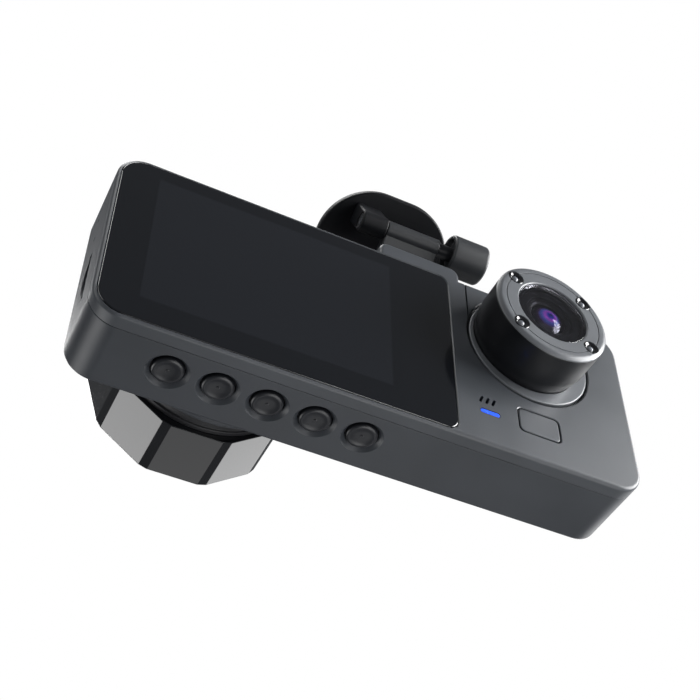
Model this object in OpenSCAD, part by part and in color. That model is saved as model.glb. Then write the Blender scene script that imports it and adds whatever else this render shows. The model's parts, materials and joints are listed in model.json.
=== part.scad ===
// Three-lens dash camera: a flat body with a faceted road lens, a swivelling cabin lens
// and a hinged windscreen bracket.
// The object is drawn about the middle of its body and then moved so that the origin is
// the middle of the adhesive pad's face. +Z is up and the road lens looks along -Y.

/* [Body] */
// Width of the body
body_w = 107.6; // [104:0.1:112]
// Height of the body without its bracket block
body_h = 43; // [42:0.1:46]
// Depth of the body
body_d = 16.6; // [16.4:0.1:18]
// Radius of the body's four long corners
body_corner_r = 5.7; // [4:0.1:6]
// Wall thickness of the two shells
wall = 1.6; // [1.4:0.1:1.8]
// Depth of the rear cover, from its seam to the rear face
cover_d = 3.0; // [2.8:0.1:3.2]

/* [Bracket block] */
// Place of the block's middle along the body
block_x = -8.5; // [-10:0.1:-7]
// Width of the block
block_w = 17.8; // [17:0.1:18]
// Height of the block above the body
block_rise = 3.3; // [3:0.1:4]
// Length of the tongue's slot in the block's front
slot_l = 15.2; // [14:0.1:15.4]
// Height of the tongue's slot
slot_h = 3.8; // [3.6:0.1:4]
// Depth of the tongue's slot
slot_d = 9; // [7:0.1:9.5]

/* [Road lens] */
// Place of the lens axis along the body
lens_x = 26; // [24:0.1:28]
// Distance from the body's front face to the lens rim
lens_l = 20.3; // [18:0.1:22]
// Radius of the faceted barrel's round corners
barrel_r = 19.1; // [18:0.1:19.6]
// Length of the faceted part of the barrel
facet_l = 13.1; // [11:0.1:14]
// Number of flats round the barrel
facets = 10; // [8:1:14]
// Radius of the raised plinth under the barrel
plinth_r = 20; // [19.8:0.1:20.6]
// Height of the plinth
plinth_h = 2.4; // [2:0.1:3]

/* [Cabin lens] */
// Place of the swivel ring along the body
swivel_x = -31.8; // [-32.5:0.1:-31]
// Height of the swivel ring above the body's middle
swivel_z = 7.2; // [6.5:0.1:7.5]
// Outer radius of the swivel ring
swivel_r = 13.2; // [13:0.1:13.4]
// Radius of the lens head
head_r = 12.1; // [11.6:0.1:12.2]
// Distance from the body's rear face to the head's face
head_l = 10.8; // [9:0.1:12]

/* [Keys] */
// Number of round keys under the body
key_n = 5; // [3:1:5]
// Distance between neighbouring keys
key_pitch = 9.15; // [8:0.05:9.5]
// Radius of a key
key_r = 2.9; // [2.5:0.1:3]

/* [Windscreen bracket] */
// Height of the tilt hinge above the body's middle
hinge_z = 41; // [39:0.1:44]
// Slope of the windscreen plate above level, in degrees
rake = 25; // [20:1:30]
// Width of the windscreen plate
plate_w = 30; // [28:0.5:34]
// Length of the windscreen plate along the slope
plate_l = 30; // [28:0.5:30]
// Corner radius of the windscreen plate
plate_r = 12; // [8:0.5:13]
// Radius of the tilt knob
knob_r = 4.4; // [4:0.1:5]

/* [Hidden] */
$fn = 64;
eps = 0.01;
fit_gap = 0.05;
front_y = -body_d / 2;
rear_y = body_d / 2;
seam_y = rear_y - cover_d;
top_z = body_h / 2;
end_x = body_w / 2;

// Screen glass, flush with the rear face
glass_t = 1.1;
glass_margin = 0.7;
glass_x0 = -14.4;
glass_x1 = end_x - glass_margin;
glass_h = body_h - 2 * glass_margin;
glass_r = 2.2;
lcd_w = 54;
lcd_h = 38;
lcd_x = 21;
lcd_t = 2.0;
lcd_y = rear_y - glass_t - 0.1 - lcd_t;

// Screws that hold the two shells together, hidden by the glass
screw_x = [49.4, -10.6];
screw_z = 17;
screw_r = 0.8;

// Road lens, as distances along Y from the rim towards the body
rim_y = front_y - lens_l;
// Share of the barrel's radius at which its flats lie
flat_share = 0.9646;
barrel_flat = barrel_r * flat_share;
neck_r = 17.6;
bezel_in_r = 17.65;
trim_in_r = 8.6;
stack_r = 6;

// Cabin head, tilting about the centre of its ball
head_x = swivel_x + 0.9;
head_z = swivel_z + 0.6;
head_y = rear_y + head_l;
ball_y = rear_y + 4.4;
socket_gap = 0.15;
tail_r = 12.15;
clip_r = 12.6;
clip_y = rear_y - 2.6;
counterbore = 1.2;
led_r = 9.9;
led_angles = [40, 140, 220, 320];

// Power key, on the rear face under the cabin head
power_x = -32;
power_z = -12.3;
power_w = 8.6;
power_h = 5.6;
key_y = -0.4;
key_x0 = 0.5;
key_gap = 0.25;

// Connectors
usb_x = 34.8;
jack_x = 22.6;
port_y = -0.4;
jack_hole_r = 1.27;
card_z = -5.05;
card_h = 12.1;
card_y = -0.65;
light_x = -21.4;
light_z = -13.6;
voice_z = -10.8;

// Tilt hinge, along X
ear_x0 = -5.1;
ear_x1 = 0.7;
arm_x0 = -17.6;
knob_x0 = -28.6;
knob_x1 = -20.3;
ear_r = 2.32;
arm_r = 2.1;
bolt_r = 1.0;
arm_t = 2.4;
plate_t = 2.2;
pad_t = 1.0;
plate_gap = 7;
plate_top = 6;
pad_reach = plate_gap + plate_t + pad_t;
plate_mid = plate_top - plate_l / 2;
pad_y = -sin(rake) * pad_reach + cos(rake) * plate_mid;
pad_z = hinge_z + cos(rake) * pad_reach + sin(rake) * plate_mid;

// Moves a piece from the body's middle to the frame whose origin is the adhesive pad
module placed() { translate([-block_x, -pad_y, -pad_z]) children(); }

// Extrudes an outline of X and Z from y0 to y1
module along_y(y0, y1) {
    rotate([90, 0, 0]) translate([0, 0, -y1]) linear_extrude(y1 - y0) children();
}

// Extrudes an outline of Y and Z from x0 to x1
module along_x(x0, x1) {
    translate([x0, 0, 0]) rotate([90, 0, 90]) linear_extrude(x1 - x0) children();
}

// Rod along Y at x, z
module rod_y(x, z, r, y0, y1) {
    translate([x, y0, z]) rotate([-90, 0, 0]) cylinder(h = y1 - y0, r = r);
}

// Rod along X at the height of the tilt hinge
module hinge_rod(r, x0, x1) {
    translate([x0, 0, hinge_z]) rotate([0, 90, 0]) cylinder(h = x1 - x0, r = r);
}

// Box between two corners
module box(a, b) { translate(a) cube(b - a); }

// Outline with four round corners, about its middle
module round_rect(w, h, r) {
    square([w - 2 * r, h], center = true);
    square([w, h - 2 * r], center = true);
    for (x = [-1, 1], z = [-1, 1]) translate([x * (w / 2 - r), z * (h / 2 - r)]) circle(r);
}

// Slot outline with round ends, about its middle
module stadium(l, h) {
    square([l - h, h], center = true);
    for (x = [-1, 1]) translate([x * (l - h) / 2, 0]) circle(h / 2);
}

// The body's outline with its bracket block, made smaller by inset all round
module body_outline(inset = 0) {
    r = body_corner_r - inset;
    round_rect(body_w - 2 * inset, body_h - 2 * inset, r);
    if (inset == 0) translate([block_x, top_z - 1]) block_outline();
}

module block_outline(corner = 2) {
    translate([-block_w / 2, 0]) square([block_w, block_rise + 1 - corner]);
    translate([-block_w / 2 + corner, 0]) square([block_w - 2 * corner, block_rise + 1]);
    for (x = [-1, 1]) translate([x * (block_w / 2 - corner), block_rise + 1 - corner]) circle(corner);
}

// Places each of the four shell screws
module at_screws() { for (x = screw_x, z = [-screw_z, screw_z]) translate([x, 0, z]) children(); }

// Places child copies at the round keys' centres
module at_keys() { for (i = [0:key_n - 1]) translate([key_x0 + i * key_pitch, key_y, 0]) children(); }

// --- windscreen bracket ---------------------------------------------------

// Frame of the sloping plate: X along the hinge, Y up the slope, Z towards the windscreen
module on_plate() { translate([block_x, 0, hinge_z]) rotate([rake, 0, 0]) children(); }

module adhesive_pad() {
    color("dimgray") placed() on_plate() translate([0, plate_mid, plate_gap + plate_t])
        linear_extrude(pad_t) round_rect(plate_w - 2, plate_l - 2, plate_r - 1);
}

module windscreen_plate() {
    color("#151618") placed() difference() {
        union() {
            on_plate() translate([0, plate_mid, plate_gap]) linear_extrude(plate_t)
                round_rect(plate_w, plate_l, plate_r);
            hinge_rod(ear_r, ear_x0, ear_x1);
            on_plate() translate([ear_x0 - block_x, -ear_r, 0])
                cube([ear_x1 - ear_x0, 2 * ear_r, plate_gap + eps]);
        }
        hinge_rod(bolt_r + fit_gap, ear_x0 - 1, ear_x1 + 1);
        hinge_rod(1.75, ear_x1 - 1.6, ear_x1 + 1);
    }
}

module hinge_bolt() {
    color("silver") placed() difference() {
        union() {
            hinge_rod(1.65, ear_x1 - 1.55, ear_x1 - 0.2);
            hinge_rod(bolt_r, knob_x0 + 1.6, ear_x1 - 1);
        }
        translate([ear_x1 - 1, 0, hinge_z]) rotate([0, 90, 0]) cylinder(h = 2, r = 0.9, $fn = 6);
    }
}

module tilt_knob() {
    color("#1b1c1e") placed() difference() {
        union() {
            hinge_rod(knob_r, knob_x0, knob_x1);
            hinge_rod(1.6, knob_x1 - 2, arm_x0 - 0.1);
        }
        difference() {
            hinge_rod(3.4, knob_x1 - 1.2, knob_x1 + 1);
            hinge_rod(1.6, knob_x1 - 3, knob_x1 + 2);
        }
        hinge_rod(bolt_r + fit_gap, knob_x0 + 1.4, arm_x0 + 1);
        hinge_rod(2.4, knob_x0 + 2, knob_x0 + 5);
    }
}

module knob_insert() {
    color("goldenrod") placed() difference() {
        hinge_rod(2.38, knob_x0 + 2.05, knob_x0 + 4.95);
        hinge_rod(bolt_r + fit_gap, knob_x0 + 1, knob_x0 + 6);
    }
}

// The arm drops from the hinge to the block's front and its tongue enters the block's slot
module bracket_arm() {
    face_y = front_y - 0.2;
    tongue_z = top_z - 0.1;
    color("#1b1c1e") placed() difference() {
        union() {
            hinge_rod(arm_r, arm_x0, ear_x0 - 0.1);
            along_x(arm_x0, ear_x0 - 0.1) polygon([
                [1.2, hinge_z - 1.2], [-1.2, hinge_z + 1.2],
                [face_y - arm_t, hinge_z - 9.2], [face_y - arm_t, tongue_z + 3],
                [face_y, tongue_z + 3], [face_y, hinge_z - 10.2]]);
            along_y(face_y - arm_t, face_y) translate([block_x, tongue_z + 0.6])
                round_rect(slot_l + 1.2, 6.4, 1.6);
            along_y(face_y - 1, front_y + slot_d - 0.6) translate([block_x, tongue_z])
                stadium(slot_l - 0.6, slot_h - 0.6);
        }
        hinge_rod(bolt_r + fit_gap, arm_x0 - 1, ear_x0 + 1);
    }
}

// --- shells ---------------------------------------------------------------

module front_housing() {
    boss_r = 2.3;
    color("#34383f") placed() difference() {
        union() {
            difference() {
                along_y(front_y, seam_y) body_outline();
                along_y(front_y + wall, seam_y + 1) body_outline(wall);
            }
            rod_y(lens_x, 0, plinth_r, front_y - plinth_h, front_y + 1);
            at_screws() rod_y(0, 0, boss_r, front_y + 1, lcd_y - 0.05);
            // Pocket walls round the bracket tongue
            along_y(front_y + 1, front_y + slot_d + 1.2) translate([block_x, top_z - 1.6])
                square([slot_l + 2.6, 6], center = true);
        }
        along_y(front_y - 1, front_y + slot_d) translate([block_x, top_z - 0.1]) stadium(slot_l, slot_h);
        at_screws() rod_y(0, 0, screw_r + 0.02, front_y + 3, seam_y + 1);
        rod_y(lens_x, 0, 14.2, front_y - plinth_h - 1, front_y + wall + 1);
        at_keys() translate([0, 0, -top_z - 1]) cylinder(h = wall + 2, r = key_r + key_gap);
        translate([usb_x, port_y, top_z - 3]) linear_extrude(4) stadium(9.6, 3.9);
        translate([jack_x, port_y, top_z - 3]) cylinder(h = 4, r = 1.9);
        for (z = [11.6, 6.2]) translate([end_x - 3, -1.2, z]) rotate([0, 90, 0]) cylinder(h = 4, r = 0.4);
        along_x(end_x - 3, end_x + 1) card_opening();
        // Sound holes of the loudspeaker in the far end
        for (k = [-2:2]) along_x(-end_x - 1, -end_x + 3) translate([-1, -11 + 2.2 * k]) stadium(5, 0.9);
    }
}

// Card slot with its finger notch, as an outline of Y and Z
module card_opening() {
    translate([card_y, card_z]) square([1.35, card_h], center = true);
    intersection() {
        translate([card_y + 3.65, card_z]) circle(6.2);
        translate([card_y - 5, card_z - card_h / 2 + 0.7]) square([5, card_h - 1.4]);
    }
}

// Points of an arc about c, from angle a0 to a1
function arc(c, r, a0, a1, n = 10) =
    [for (i = [0:n]) let (a = a0 + (a1 - a0) * i / n) c + r * [cos(a), sin(a)]];

// Outline of the screen glass: large corners at the body's end, small ones beside the cabin lens
module glass_outline(grow = 0) {
    big = body_corner_r - glass_margin;
    x0 = glass_x0 + glass_r;
    x1 = glass_x1 - big;
    z0 = glass_h / 2 - glass_r;
    z1 = glass_h / 2 - big;
    polygon(concat(arc([x1, z1], big + grow, 90, 0), arc([x1, -z1], big + grow, 0, -90),
        arc([x0, -z0], glass_r + grow, -90, -180, 6), arc([x0, z0], glass_r + grow, 180, 90, 6)));
}

module rear_cover() {
    color("#5a5f66") placed() difference() {
        along_y(seam_y + 0.05, rear_y) body_outline();
        // Hollow behind the rear wall
        along_y(seam_y - 1, rear_y - wall) difference() {
            body_outline(wall);
            translate([glass_x0 + 1.5, 0]) square([1, body_h], center = true);
        }
        along_y(rear_y - glass_t - 0.05, rear_y + 1) glass_outline(0.08);
        along_y(seam_y - 1, rear_y) translate([lcd_x, 0]) square([lcd_w + 0.4, lcd_h + 0.4], center = true);
        at_screws() rod_y(0, 0, screw_r + 0.1, seam_y - 1, rear_y);
        at_screws() rod_y(0, 0, 1.7, rear_y - wall - 0.1, rear_y);
        rod_y(swivel_x, swivel_z, swivel_r + 0.5, rear_y - counterbore, rear_y + 1);
        rod_y(swivel_x, swivel_z, tail_r + 0.1, seam_y - 1, rear_y);
        along_y(seam_y - 1, rear_y + 1) translate([power_x, power_z])
            round_rect(power_w + 0.5, power_h + 0.5, 1.2);
        along_y(seam_y - 1, rear_y + 1) translate([light_x, light_z]) stadium(4.2, 1.1);
        for (k = [-1:1]) rod_y(light_x + 0.4 + 1.3 * k, voice_z, 0.4, seam_y - 1, rear_y + 1);
        // Joint line from the top edge down to the swivel ring
        box([-18.8, rear_y - 0.4, swivel_z + 4], [-18.45, rear_y + 1, top_z + 1]);
    }
}

module screen_glass() {
    color([0.05, 0.06, 0.08, 0.9]) placed() along_y(rear_y - glass_t, rear_y) glass_outline();
}

module housing_screws() {
    color("silver") placed() at_screws() difference() {
        union() {
            rod_y(0, 0, screw_r, -2, rear_y - wall);
            rod_y(0, 0, 1.35, rear_y - wall - 0.02, rear_y - glass_t - 0.2);
        }
        rod_y(0, 0, 0.5, rear_y - glass_t - 0.6, rear_y);
    }
}

// --- electronics ----------------------------------------------------------

module display_panel() {
    color("#20242c") placed() difference() {
        box([lcd_x - lcd_w / 2, lcd_y, -lcd_h / 2], [lcd_x + lcd_w / 2, lcd_y + lcd_t, lcd_h / 2]);
        box([lcd_x - lcd_w / 2 + 1, rear_y - glass_t - 0.4, -lcd_h / 2 + 1.5],
            [lcd_x + lcd_w / 2 - 3, rear_y, lcd_h / 2 - 1]);
    }
}

module main_board() {
    y0 = 1.2;
    color("#1f5a3a") placed() difference() {
        union() {
            box([-15, y0, -18.4], [51, y0 + 1.2, 16.7]);
            box([2, y0 + 1.19, -6], [14, y0 + 2.4, 6]);
            box([22, y0 + 1.19, 2], [31, y0 + 2.2, 9]);
            box([34, y0 + 1.19, -9], [41, y0 + 2.2, -2]);
        }
        at_screws() rod_y(0, 0, 2.6, y0 - 1, y0 + 4);
    }
}

module display_cable() {
    color("#b0701c") placed() difference() {
        box([-11, 2.5, -14], [-6.05, 5.6, -4]);
        box([-10.8, 2.7, -15], [-6, 5.4, -3]);
    }
}

module heat_spreader() {
    color("silver") placed() difference() {
        box([-14, 0.2, -12], [12, 1.0, 12]);
        for (z = [-9, 9]) rod_y(-11, z, 0.8, 0, 2);
    }
}

module battery() {
    color("#3d6ea5") placed() translate([-47, -6.2, -2.5]) union() {
        cube([28, 5, 18]);
        translate([28 - eps, 1.5, 6]) cube([2, 2, 6]);
    }
}

module loudspeaker() {
    color("#2a2a2a") placed() difference() {
        translate([-52, -1, -11]) rotate([0, 90, 0]) union() {
            cylinder(h = 3.2, r = 5);
            translate([0, 0, 3.2 - eps]) cylinder(h = 1.6, r = 3.2);
        }
        translate([-52.5, -1, -11]) rotate([0, 90, 0]) cylinder(h = 1.2, r = 3.8);
    }
}

module usb_socket() {
    color("silver") placed() translate([usb_x, port_y, 0]) union() {
        difference() {
            translate([0, 0, top_z - 7.8]) linear_extrude(7.3) stadium(8.94, 3.2);
            translate([0, 0, top_z - 6.9]) linear_extrude(8) stadium(8.34, 2.56);
        }
        translate([-3.35, -0.35, top_z - 7]) cube([6.7, 0.7, 5.4]);
        translate([-3, 1.55, top_z - 7]) cube([6, 0.05, 4]);
    }
}

module rear_camera_jack() {
    color("#222222") placed() translate([jack_x, port_y, 0]) difference() {
        union() {
            translate([0, 0, top_z - 3]) cylinder(h = 2.7, r = 1.7);
            translate([-2.4, -1.6, top_z - 12]) cube([4.8, 3.2, 10.3]);
        }
        translate([0, 0, top_z - 11]) cylinder(h = 12, r = jack_hole_r);
    }
}

module card_socket() {
    color("silver") placed() difference() {
        box([end_x - 17, -1.5, -11.4], [end_x - wall - 0.1, 0.4, 1.4]);
        box([end_x - 16.5, -1.1, -11], [end_x, 0, 1]);
    }
}

module microphone() {
    color("silver") placed() difference() {
        translate([end_x - wall - 0.05 - 1, -1.2, 11.6]) rotate([0, 90, 0]) cylinder(h = 1, r = 2);
        translate([end_x - wall - 0.5, -1.2, 11.6]) rotate([0, 90, 0]) cylinder(h = 1, r = 0.4);
    }
}

module reset_switch() {
    color("#d9d4c6") placed() union() {
        box([end_x - wall - 3.6, -2.6, 4.6], [end_x - wall - 1, 0.2, 7.8]);
        translate([end_x - wall - 1 - eps, -1.2, 6.2]) rotate([0, 90, 0]) cylinder(h = 0.5, r = 0.5);
    }
}

module status_light() {
    color("#2b62ff") placed() union() {
        along_y(rear_y - wall - 0.1, rear_y - 0.02) translate([light_x, light_z]) stadium(4, 0.9);
        along_y(rear_y - wall - 1.2, rear_y - wall - 0.02) translate([light_x, light_z]) stadium(4.6, 2);
    }
}

// --- keys -----------------------------------------------------------------

module key(i) {
    color("#24272c") placed() translate([key_x0 + (i - 1) * key_pitch, key_y, -top_z]) difference() {
        union() {
            cylinder(h = 2.1, r = key_r);
            translate([0, 0, 1.7]) cylinder(h = 0.6, r = key_r + 0.7);
            translate([0, 0, 2.2]) cylinder(h = 0.5, r = 0.8);
        }
        translate([0, 0, -0.2]) cylinder(h = 0.4, r1 = 2.2, r2 = 1.9, $fn = 48);
    }
}

module key_1() { key(1); }
module key_2() { key(2); }
module key_3() { key(3); }
module key_4() { key(4); }
module key_5() { key(5); }

module key_switches() {
    base_z = -top_z + 3.7;
    color("silver") placed() {
        at_keys() {
            translate([-1.6, -1.4, base_z]) cube([3.2, 2.8, 1.4]);
            translate([0, 0, base_z - 0.3]) cylinder(h = 0.5, r = 0.8);
        }
        box([key_x0 - 3, key_y - 1.4, base_z + 1.4 - eps],
            [key_x0 + (key_n - 1) * key_pitch + 3, key_y + 1.4, base_z + 2]);
    }
}

module power_key() {
    color("#5a5f66") placed() union() {
        along_y(rear_y - 1.9, rear_y) translate([power_x, power_z]) round_rect(power_w, power_h, 1);
        along_y(rear_y - 2.5, rear_y - 1.85) translate([power_x, power_z])
            round_rect(power_w + 1.4, power_h + 1.4, 1.4);
    }
}

module power_switch() {
    color("silver") placed() union() {
        box([power_x - 2, rear_y - 5.0, power_z - 1.8], [power_x + 2, rear_y - 3.4, power_z + 1.8]);
        rod_y(power_x, power_z, 0.9, rear_y - 3.5, rear_y - 3.0);
    }
}

// --- road lens ------------------------------------------------------------

module lens_neck() {
    color("#101113") placed() difference() {
        union() {
            rod_y(lens_x, 0, neck_r, rim_y + facet_l + 0.02, front_y - plinth_h - 0.02);
            rod_y(lens_x, 0, 13.9, front_y - plinth_h - 1, front_y + wall + 0.8);
        }
        rod_y(lens_x, 0, 12, rim_y, front_y + wall + 2);
    }
}

module lens_barrel() {
    color("#0c0d0f") placed() difference() {
        intersection() {
            rod_y(lens_x, 0, barrel_r, rim_y, rim_y + facet_l);
            translate([lens_x, rim_y - 1, 0]) rotate([-90, 0, 0])
                cylinder(h = facet_l + 2, r = barrel_flat / cos(180 / facets), $fn = facets);
        }
        rod_y(lens_x, 0, bezel_in_r, rim_y - 1, rim_y + 2.4);
        rod_y(lens_x, 0, 16.4, rim_y + 1, rim_y + facet_l + 1);
    }
}

module lens_trim_disc() {
    color("#2b2e33") placed() difference() {
        rod_y(lens_x, 0, bezel_in_r - 0.15, rim_y + 0.25, rim_y + 2.3);
        rod_y(lens_x, 0, trim_in_r, rim_y - 1, rim_y + 3);
        // Four fine rings cut round the disc
        for (k = [0:3]) translate([lens_x, rim_y + 0.15, 0]) rotate([-90, 0, 0]) difference() {
            cylinder(h = 0.25, r = 14.3 + 0.8 * k + 0.3);
            translate([0, 0, -1]) cylinder(h = 2, r = 14.3 + 0.8 * k);
        }
    }
}

module lens_retainer() {
    color("#202226") placed() difference() {
        rod_y(lens_x, 0, trim_in_r - 0.15, rim_y + 0.4, rim_y + 6);
        translate([lens_x, rim_y + 0.3, 0]) rotate([-90, 0, 0]) cylinder(h = 1.2, r1 = 6.9, r2 = 6.2, $fn = 64);
        rod_y(lens_x, 0, stack_r + 0.05, rim_y + 1.4, rim_y + 7);
    }
}

module lens_front_glass() {
    r = stack_r - 0.1;
    dome_r = 12;
    dome_angle = asin(r / dome_r);
    back = rim_y + 3.4;
    dome = [for (i = [0:8]) [dome_r * sin(dome_angle * i / 8), dome_r * (1 - cos(dome_angle * i / 8))]];
    color([0.1, 0.1, 0.14, 0.6]) placed() translate([lens_x, rim_y + 1.2, 0]) rotate([-90, 0, 0])
        rotate_extrude() polygon(concat(dome, [[r, back - rim_y - 1.2], [0, back - rim_y - 1.2]]));
}

module lens_stack() {
    color("#18191b") placed() difference() {
        rod_y(lens_x, 0, stack_r, rim_y + 3.5, front_y - 1);
        rod_y(lens_x, 0, 4.2, rim_y + 3, rim_y + 6);
    }
}

module lens_holder() {
    color("#26282c") placed() difference() {
        union() {
            rod_y(lens_x, 0, 8.4, rim_y + 7, front_y + 0.4);
            box([lens_x - 8.2, front_y - 1, -8.2], [lens_x + 8.2, front_y + 2.2, 8.2]);
        }
        rod_y(lens_x, 0, stack_r + 0.05, rim_y, front_y - 0.9);
        box([lens_x - 5, front_y - 1, -5], [lens_x + 5, front_y + 3, 5]);
    }
}

module road_sensor_board() {
    color("#1f5a3a") placed() union() {
        box([lens_x - 8.2, front_y + 2.25, -8.2], [lens_x + 8.2, front_y + 3.3, 8.2]);
        box([lens_x - 4.5, front_y + 0.9, -4.5], [lens_x + 4.5, front_y + 2.26, 4.5]);
    }
}

// --- cabin lens -----------------------------------------------------------

// Ring with a ball socket for the head, turning in the rear cover
module swivel_ring() {
    color("#6a6f76") placed() difference() {
        union() {
            rod_y(swivel_x, swivel_z, swivel_r, rear_y - counterbore + 0.05, rear_y + 0.1);
            rod_y(swivel_x, swivel_z, tail_r, seam_y + 0.15, rear_y - counterbore + 0.1);
        }
        translate([head_x, ball_y, head_z]) sphere(r = head_r + socket_gap);
        // Groove for the clip
        difference() {
            rod_y(swivel_x, swivel_z, tail_r + 1, clip_y, clip_y + 0.8);
            rod_y(swivel_x, swivel_z, tail_r - 0.3, clip_y - 1, clip_y + 2);
        }
    }
}

// Open spring clip that keeps the swivel ring in the rear cover
module swivel_clip() {
    color("silver") placed() difference() {
        rod_y(swivel_x, swivel_z, clip_r, clip_y + 0.02, clip_y + 0.78);
        rod_y(swivel_x, swivel_z, tail_r - 0.28, clip_y - 1, clip_y + 2);
        box([swivel_x - 3, clip_y - 1, swivel_z - clip_r - 1], [swivel_x + 3, clip_y + 2, swivel_z]);
    }
}

// Cup whose lower end is part of a ball, so it tilts inside the swivel ring
module cabin_head() {
    ball_cut = 6.3;
    color("#0e0f11") placed() translate([head_x, ball_y, head_z]) rotate([-90, 0, 0]) difference() {
        union() {
            cylinder(h = head_y - ball_y - 0.8, r = head_r);
            intersection() {
                sphere(r = head_r);
                translate([0, 0, -ball_cut]) cylinder(h = ball_cut + eps, r = head_r + 1);
            }
        }
        translate([0, 0, -4]) cylinder(h = 20, r = 9.4);
        translate([0, 0, 3.6]) cylinder(h = 20, r = head_r - 0.9);
        translate([0, 0, -ball_cut - 1]) cylinder(h = 20, r = 2);
    }
}

module cabin_face_ring() {
    color("#6a6f76") placed() difference() {
        union() {
            rod_y(head_x, head_z, head_r, head_y - 0.75, head_y);
            rod_y(head_x, head_z, head_r - 1, head_y - 2, head_y - 0.7);
        }
        rod_y(head_x, head_z, 7.6, head_y - 3, head_y + 1);
        for (a = led_angles) rod_y(head_x + led_r * cos(a), head_z + led_r * sin(a), 1.15, head_y - 3, head_y + 1);
    }
}

module cabin_glass() {
    color([0.05, 0.05, 0.07, 0.8]) placed() rod_y(head_x, head_z, 7.5, head_y - 1.5, head_y - 0.3);
}

module cabin_lens() {
    color("#3a2d66") placed() union() {
        rod_y(head_x, head_z, 4.6, head_y - 6.6, head_y - 3.2);
        intersection() {
            translate([head_x, head_y - 6.6, head_z]) sphere(r = 4.8);
            rod_y(head_x, head_z, 3.8, head_y - 4, head_y - 1.6);
        }
    }
}

module infrared_lamps() {
    color("#c8ccd2") placed() for (a = led_angles)
        translate([head_x + led_r * cos(a), head_y - 2.8, head_z + led_r * sin(a)]) rotate([-90, 0, 0]) {
            cylinder(h = 1.4, r = 0.95);
            translate([0, 0, 1.4 - eps]) sphere(r = 0.9, $fn = 24);
        }
}

module cabin_sensor_board() {
    color("#1f5a3a") placed() difference() {
        rod_y(head_x, head_z, 9.2, head_y - 7.8, head_y - 6.65);
        rod_y(head_x, head_z - 7.6, 0.8, head_y - 9, head_y);
    }
}

adhesive_pad();
windscreen_plate();
hinge_bolt();
tilt_knob();
knob_insert();
bracket_arm();
front_housing();
rear_cover();
screen_glass();
display_panel();
main_board();
display_cable();
heat_spreader();
battery();
loudspeaker();
housing_screws();
usb_socket();
rear_camera_jack();
card_socket();
microphone();
reset_switch();
status_light();
key_switches();
key_1();
key_2();
key_3();
key_4();
key_5();
power_key();
power_switch();
lens_neck();
lens_barrel();
lens_trim_disc();
lens_retainer();
lens_front_glass();
lens_stack();
lens_holder();
road_sensor_board();
swivel_ring();
swivel_clip();
cabin_head();
cabin_face_ring();
cabin_glass();
cabin_lens();
infrared_lamps();
cabin_sensor_board();
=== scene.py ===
"""Finished look of a three-lens dash camera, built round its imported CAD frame.

Every size in this script is in millimetres from the middle of the camera body, with +X towards
the road lens' end, -Y where the road lens looks and +Z up. The bench turns them into metres in
the row frame. Places are read from the frame, and each sub-assembly's own sizes are its fields.
"""

import json
import logging
import math
from dataclasses import dataclass, field
from enum import Enum
from typing import Callable, Optional, Sequence

import bmesh
import bpy
from mathutils import Matrix, Vector

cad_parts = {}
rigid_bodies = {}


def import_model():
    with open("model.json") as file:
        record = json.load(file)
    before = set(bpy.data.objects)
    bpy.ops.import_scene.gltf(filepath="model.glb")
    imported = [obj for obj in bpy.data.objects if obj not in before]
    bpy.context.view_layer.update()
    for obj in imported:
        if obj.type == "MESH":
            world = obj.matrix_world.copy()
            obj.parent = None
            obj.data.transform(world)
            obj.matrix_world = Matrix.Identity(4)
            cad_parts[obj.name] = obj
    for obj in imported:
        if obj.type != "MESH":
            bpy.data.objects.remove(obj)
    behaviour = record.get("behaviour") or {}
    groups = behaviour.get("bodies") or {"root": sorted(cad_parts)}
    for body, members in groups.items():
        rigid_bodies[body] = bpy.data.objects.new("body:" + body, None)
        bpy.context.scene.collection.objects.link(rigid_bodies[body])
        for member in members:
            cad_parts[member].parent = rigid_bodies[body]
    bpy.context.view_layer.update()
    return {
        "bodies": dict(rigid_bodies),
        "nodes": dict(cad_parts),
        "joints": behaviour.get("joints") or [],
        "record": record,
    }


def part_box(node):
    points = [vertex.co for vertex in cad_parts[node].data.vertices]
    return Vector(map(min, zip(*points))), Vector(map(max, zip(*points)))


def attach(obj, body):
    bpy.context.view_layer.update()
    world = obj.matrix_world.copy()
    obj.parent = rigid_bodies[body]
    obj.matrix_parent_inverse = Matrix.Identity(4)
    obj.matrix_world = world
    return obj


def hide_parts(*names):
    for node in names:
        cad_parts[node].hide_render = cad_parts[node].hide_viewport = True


MM = 0.001
KEY_COUNT = 5
LOG = logging.getLogger("dash_camera")

Point = Sequence[float]
Profile = list[tuple[float, float]]
Piece = bpy.types.Object
Socket = bpy.types.NodeSocket


class Axis(Enum):
    """Main directions a rod, prism or turned piece can lie along."""

    X = (1.0, 0.0, 0.0)
    Y = (0.0, 1.0, 0.0)
    Z = (0.0, 0.0, 1.0)

    @property
    def way(self) -> Vector:
        """Unit vector of the axis."""
        return Vector(self.value)

    @property
    def across(self) -> Vector:
        """Direction in which a turned profile's radius is drawn."""
        return Vector((0, 0, 1)) if self is Axis.X else Vector((1, 0, 0))


class Cut(Enum):
    """Ways in which one solid changes another."""

    TAKE = "DIFFERENCE"
    ADD = "UNION"


# --- finishes ---------------------------------------------------------------


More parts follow.
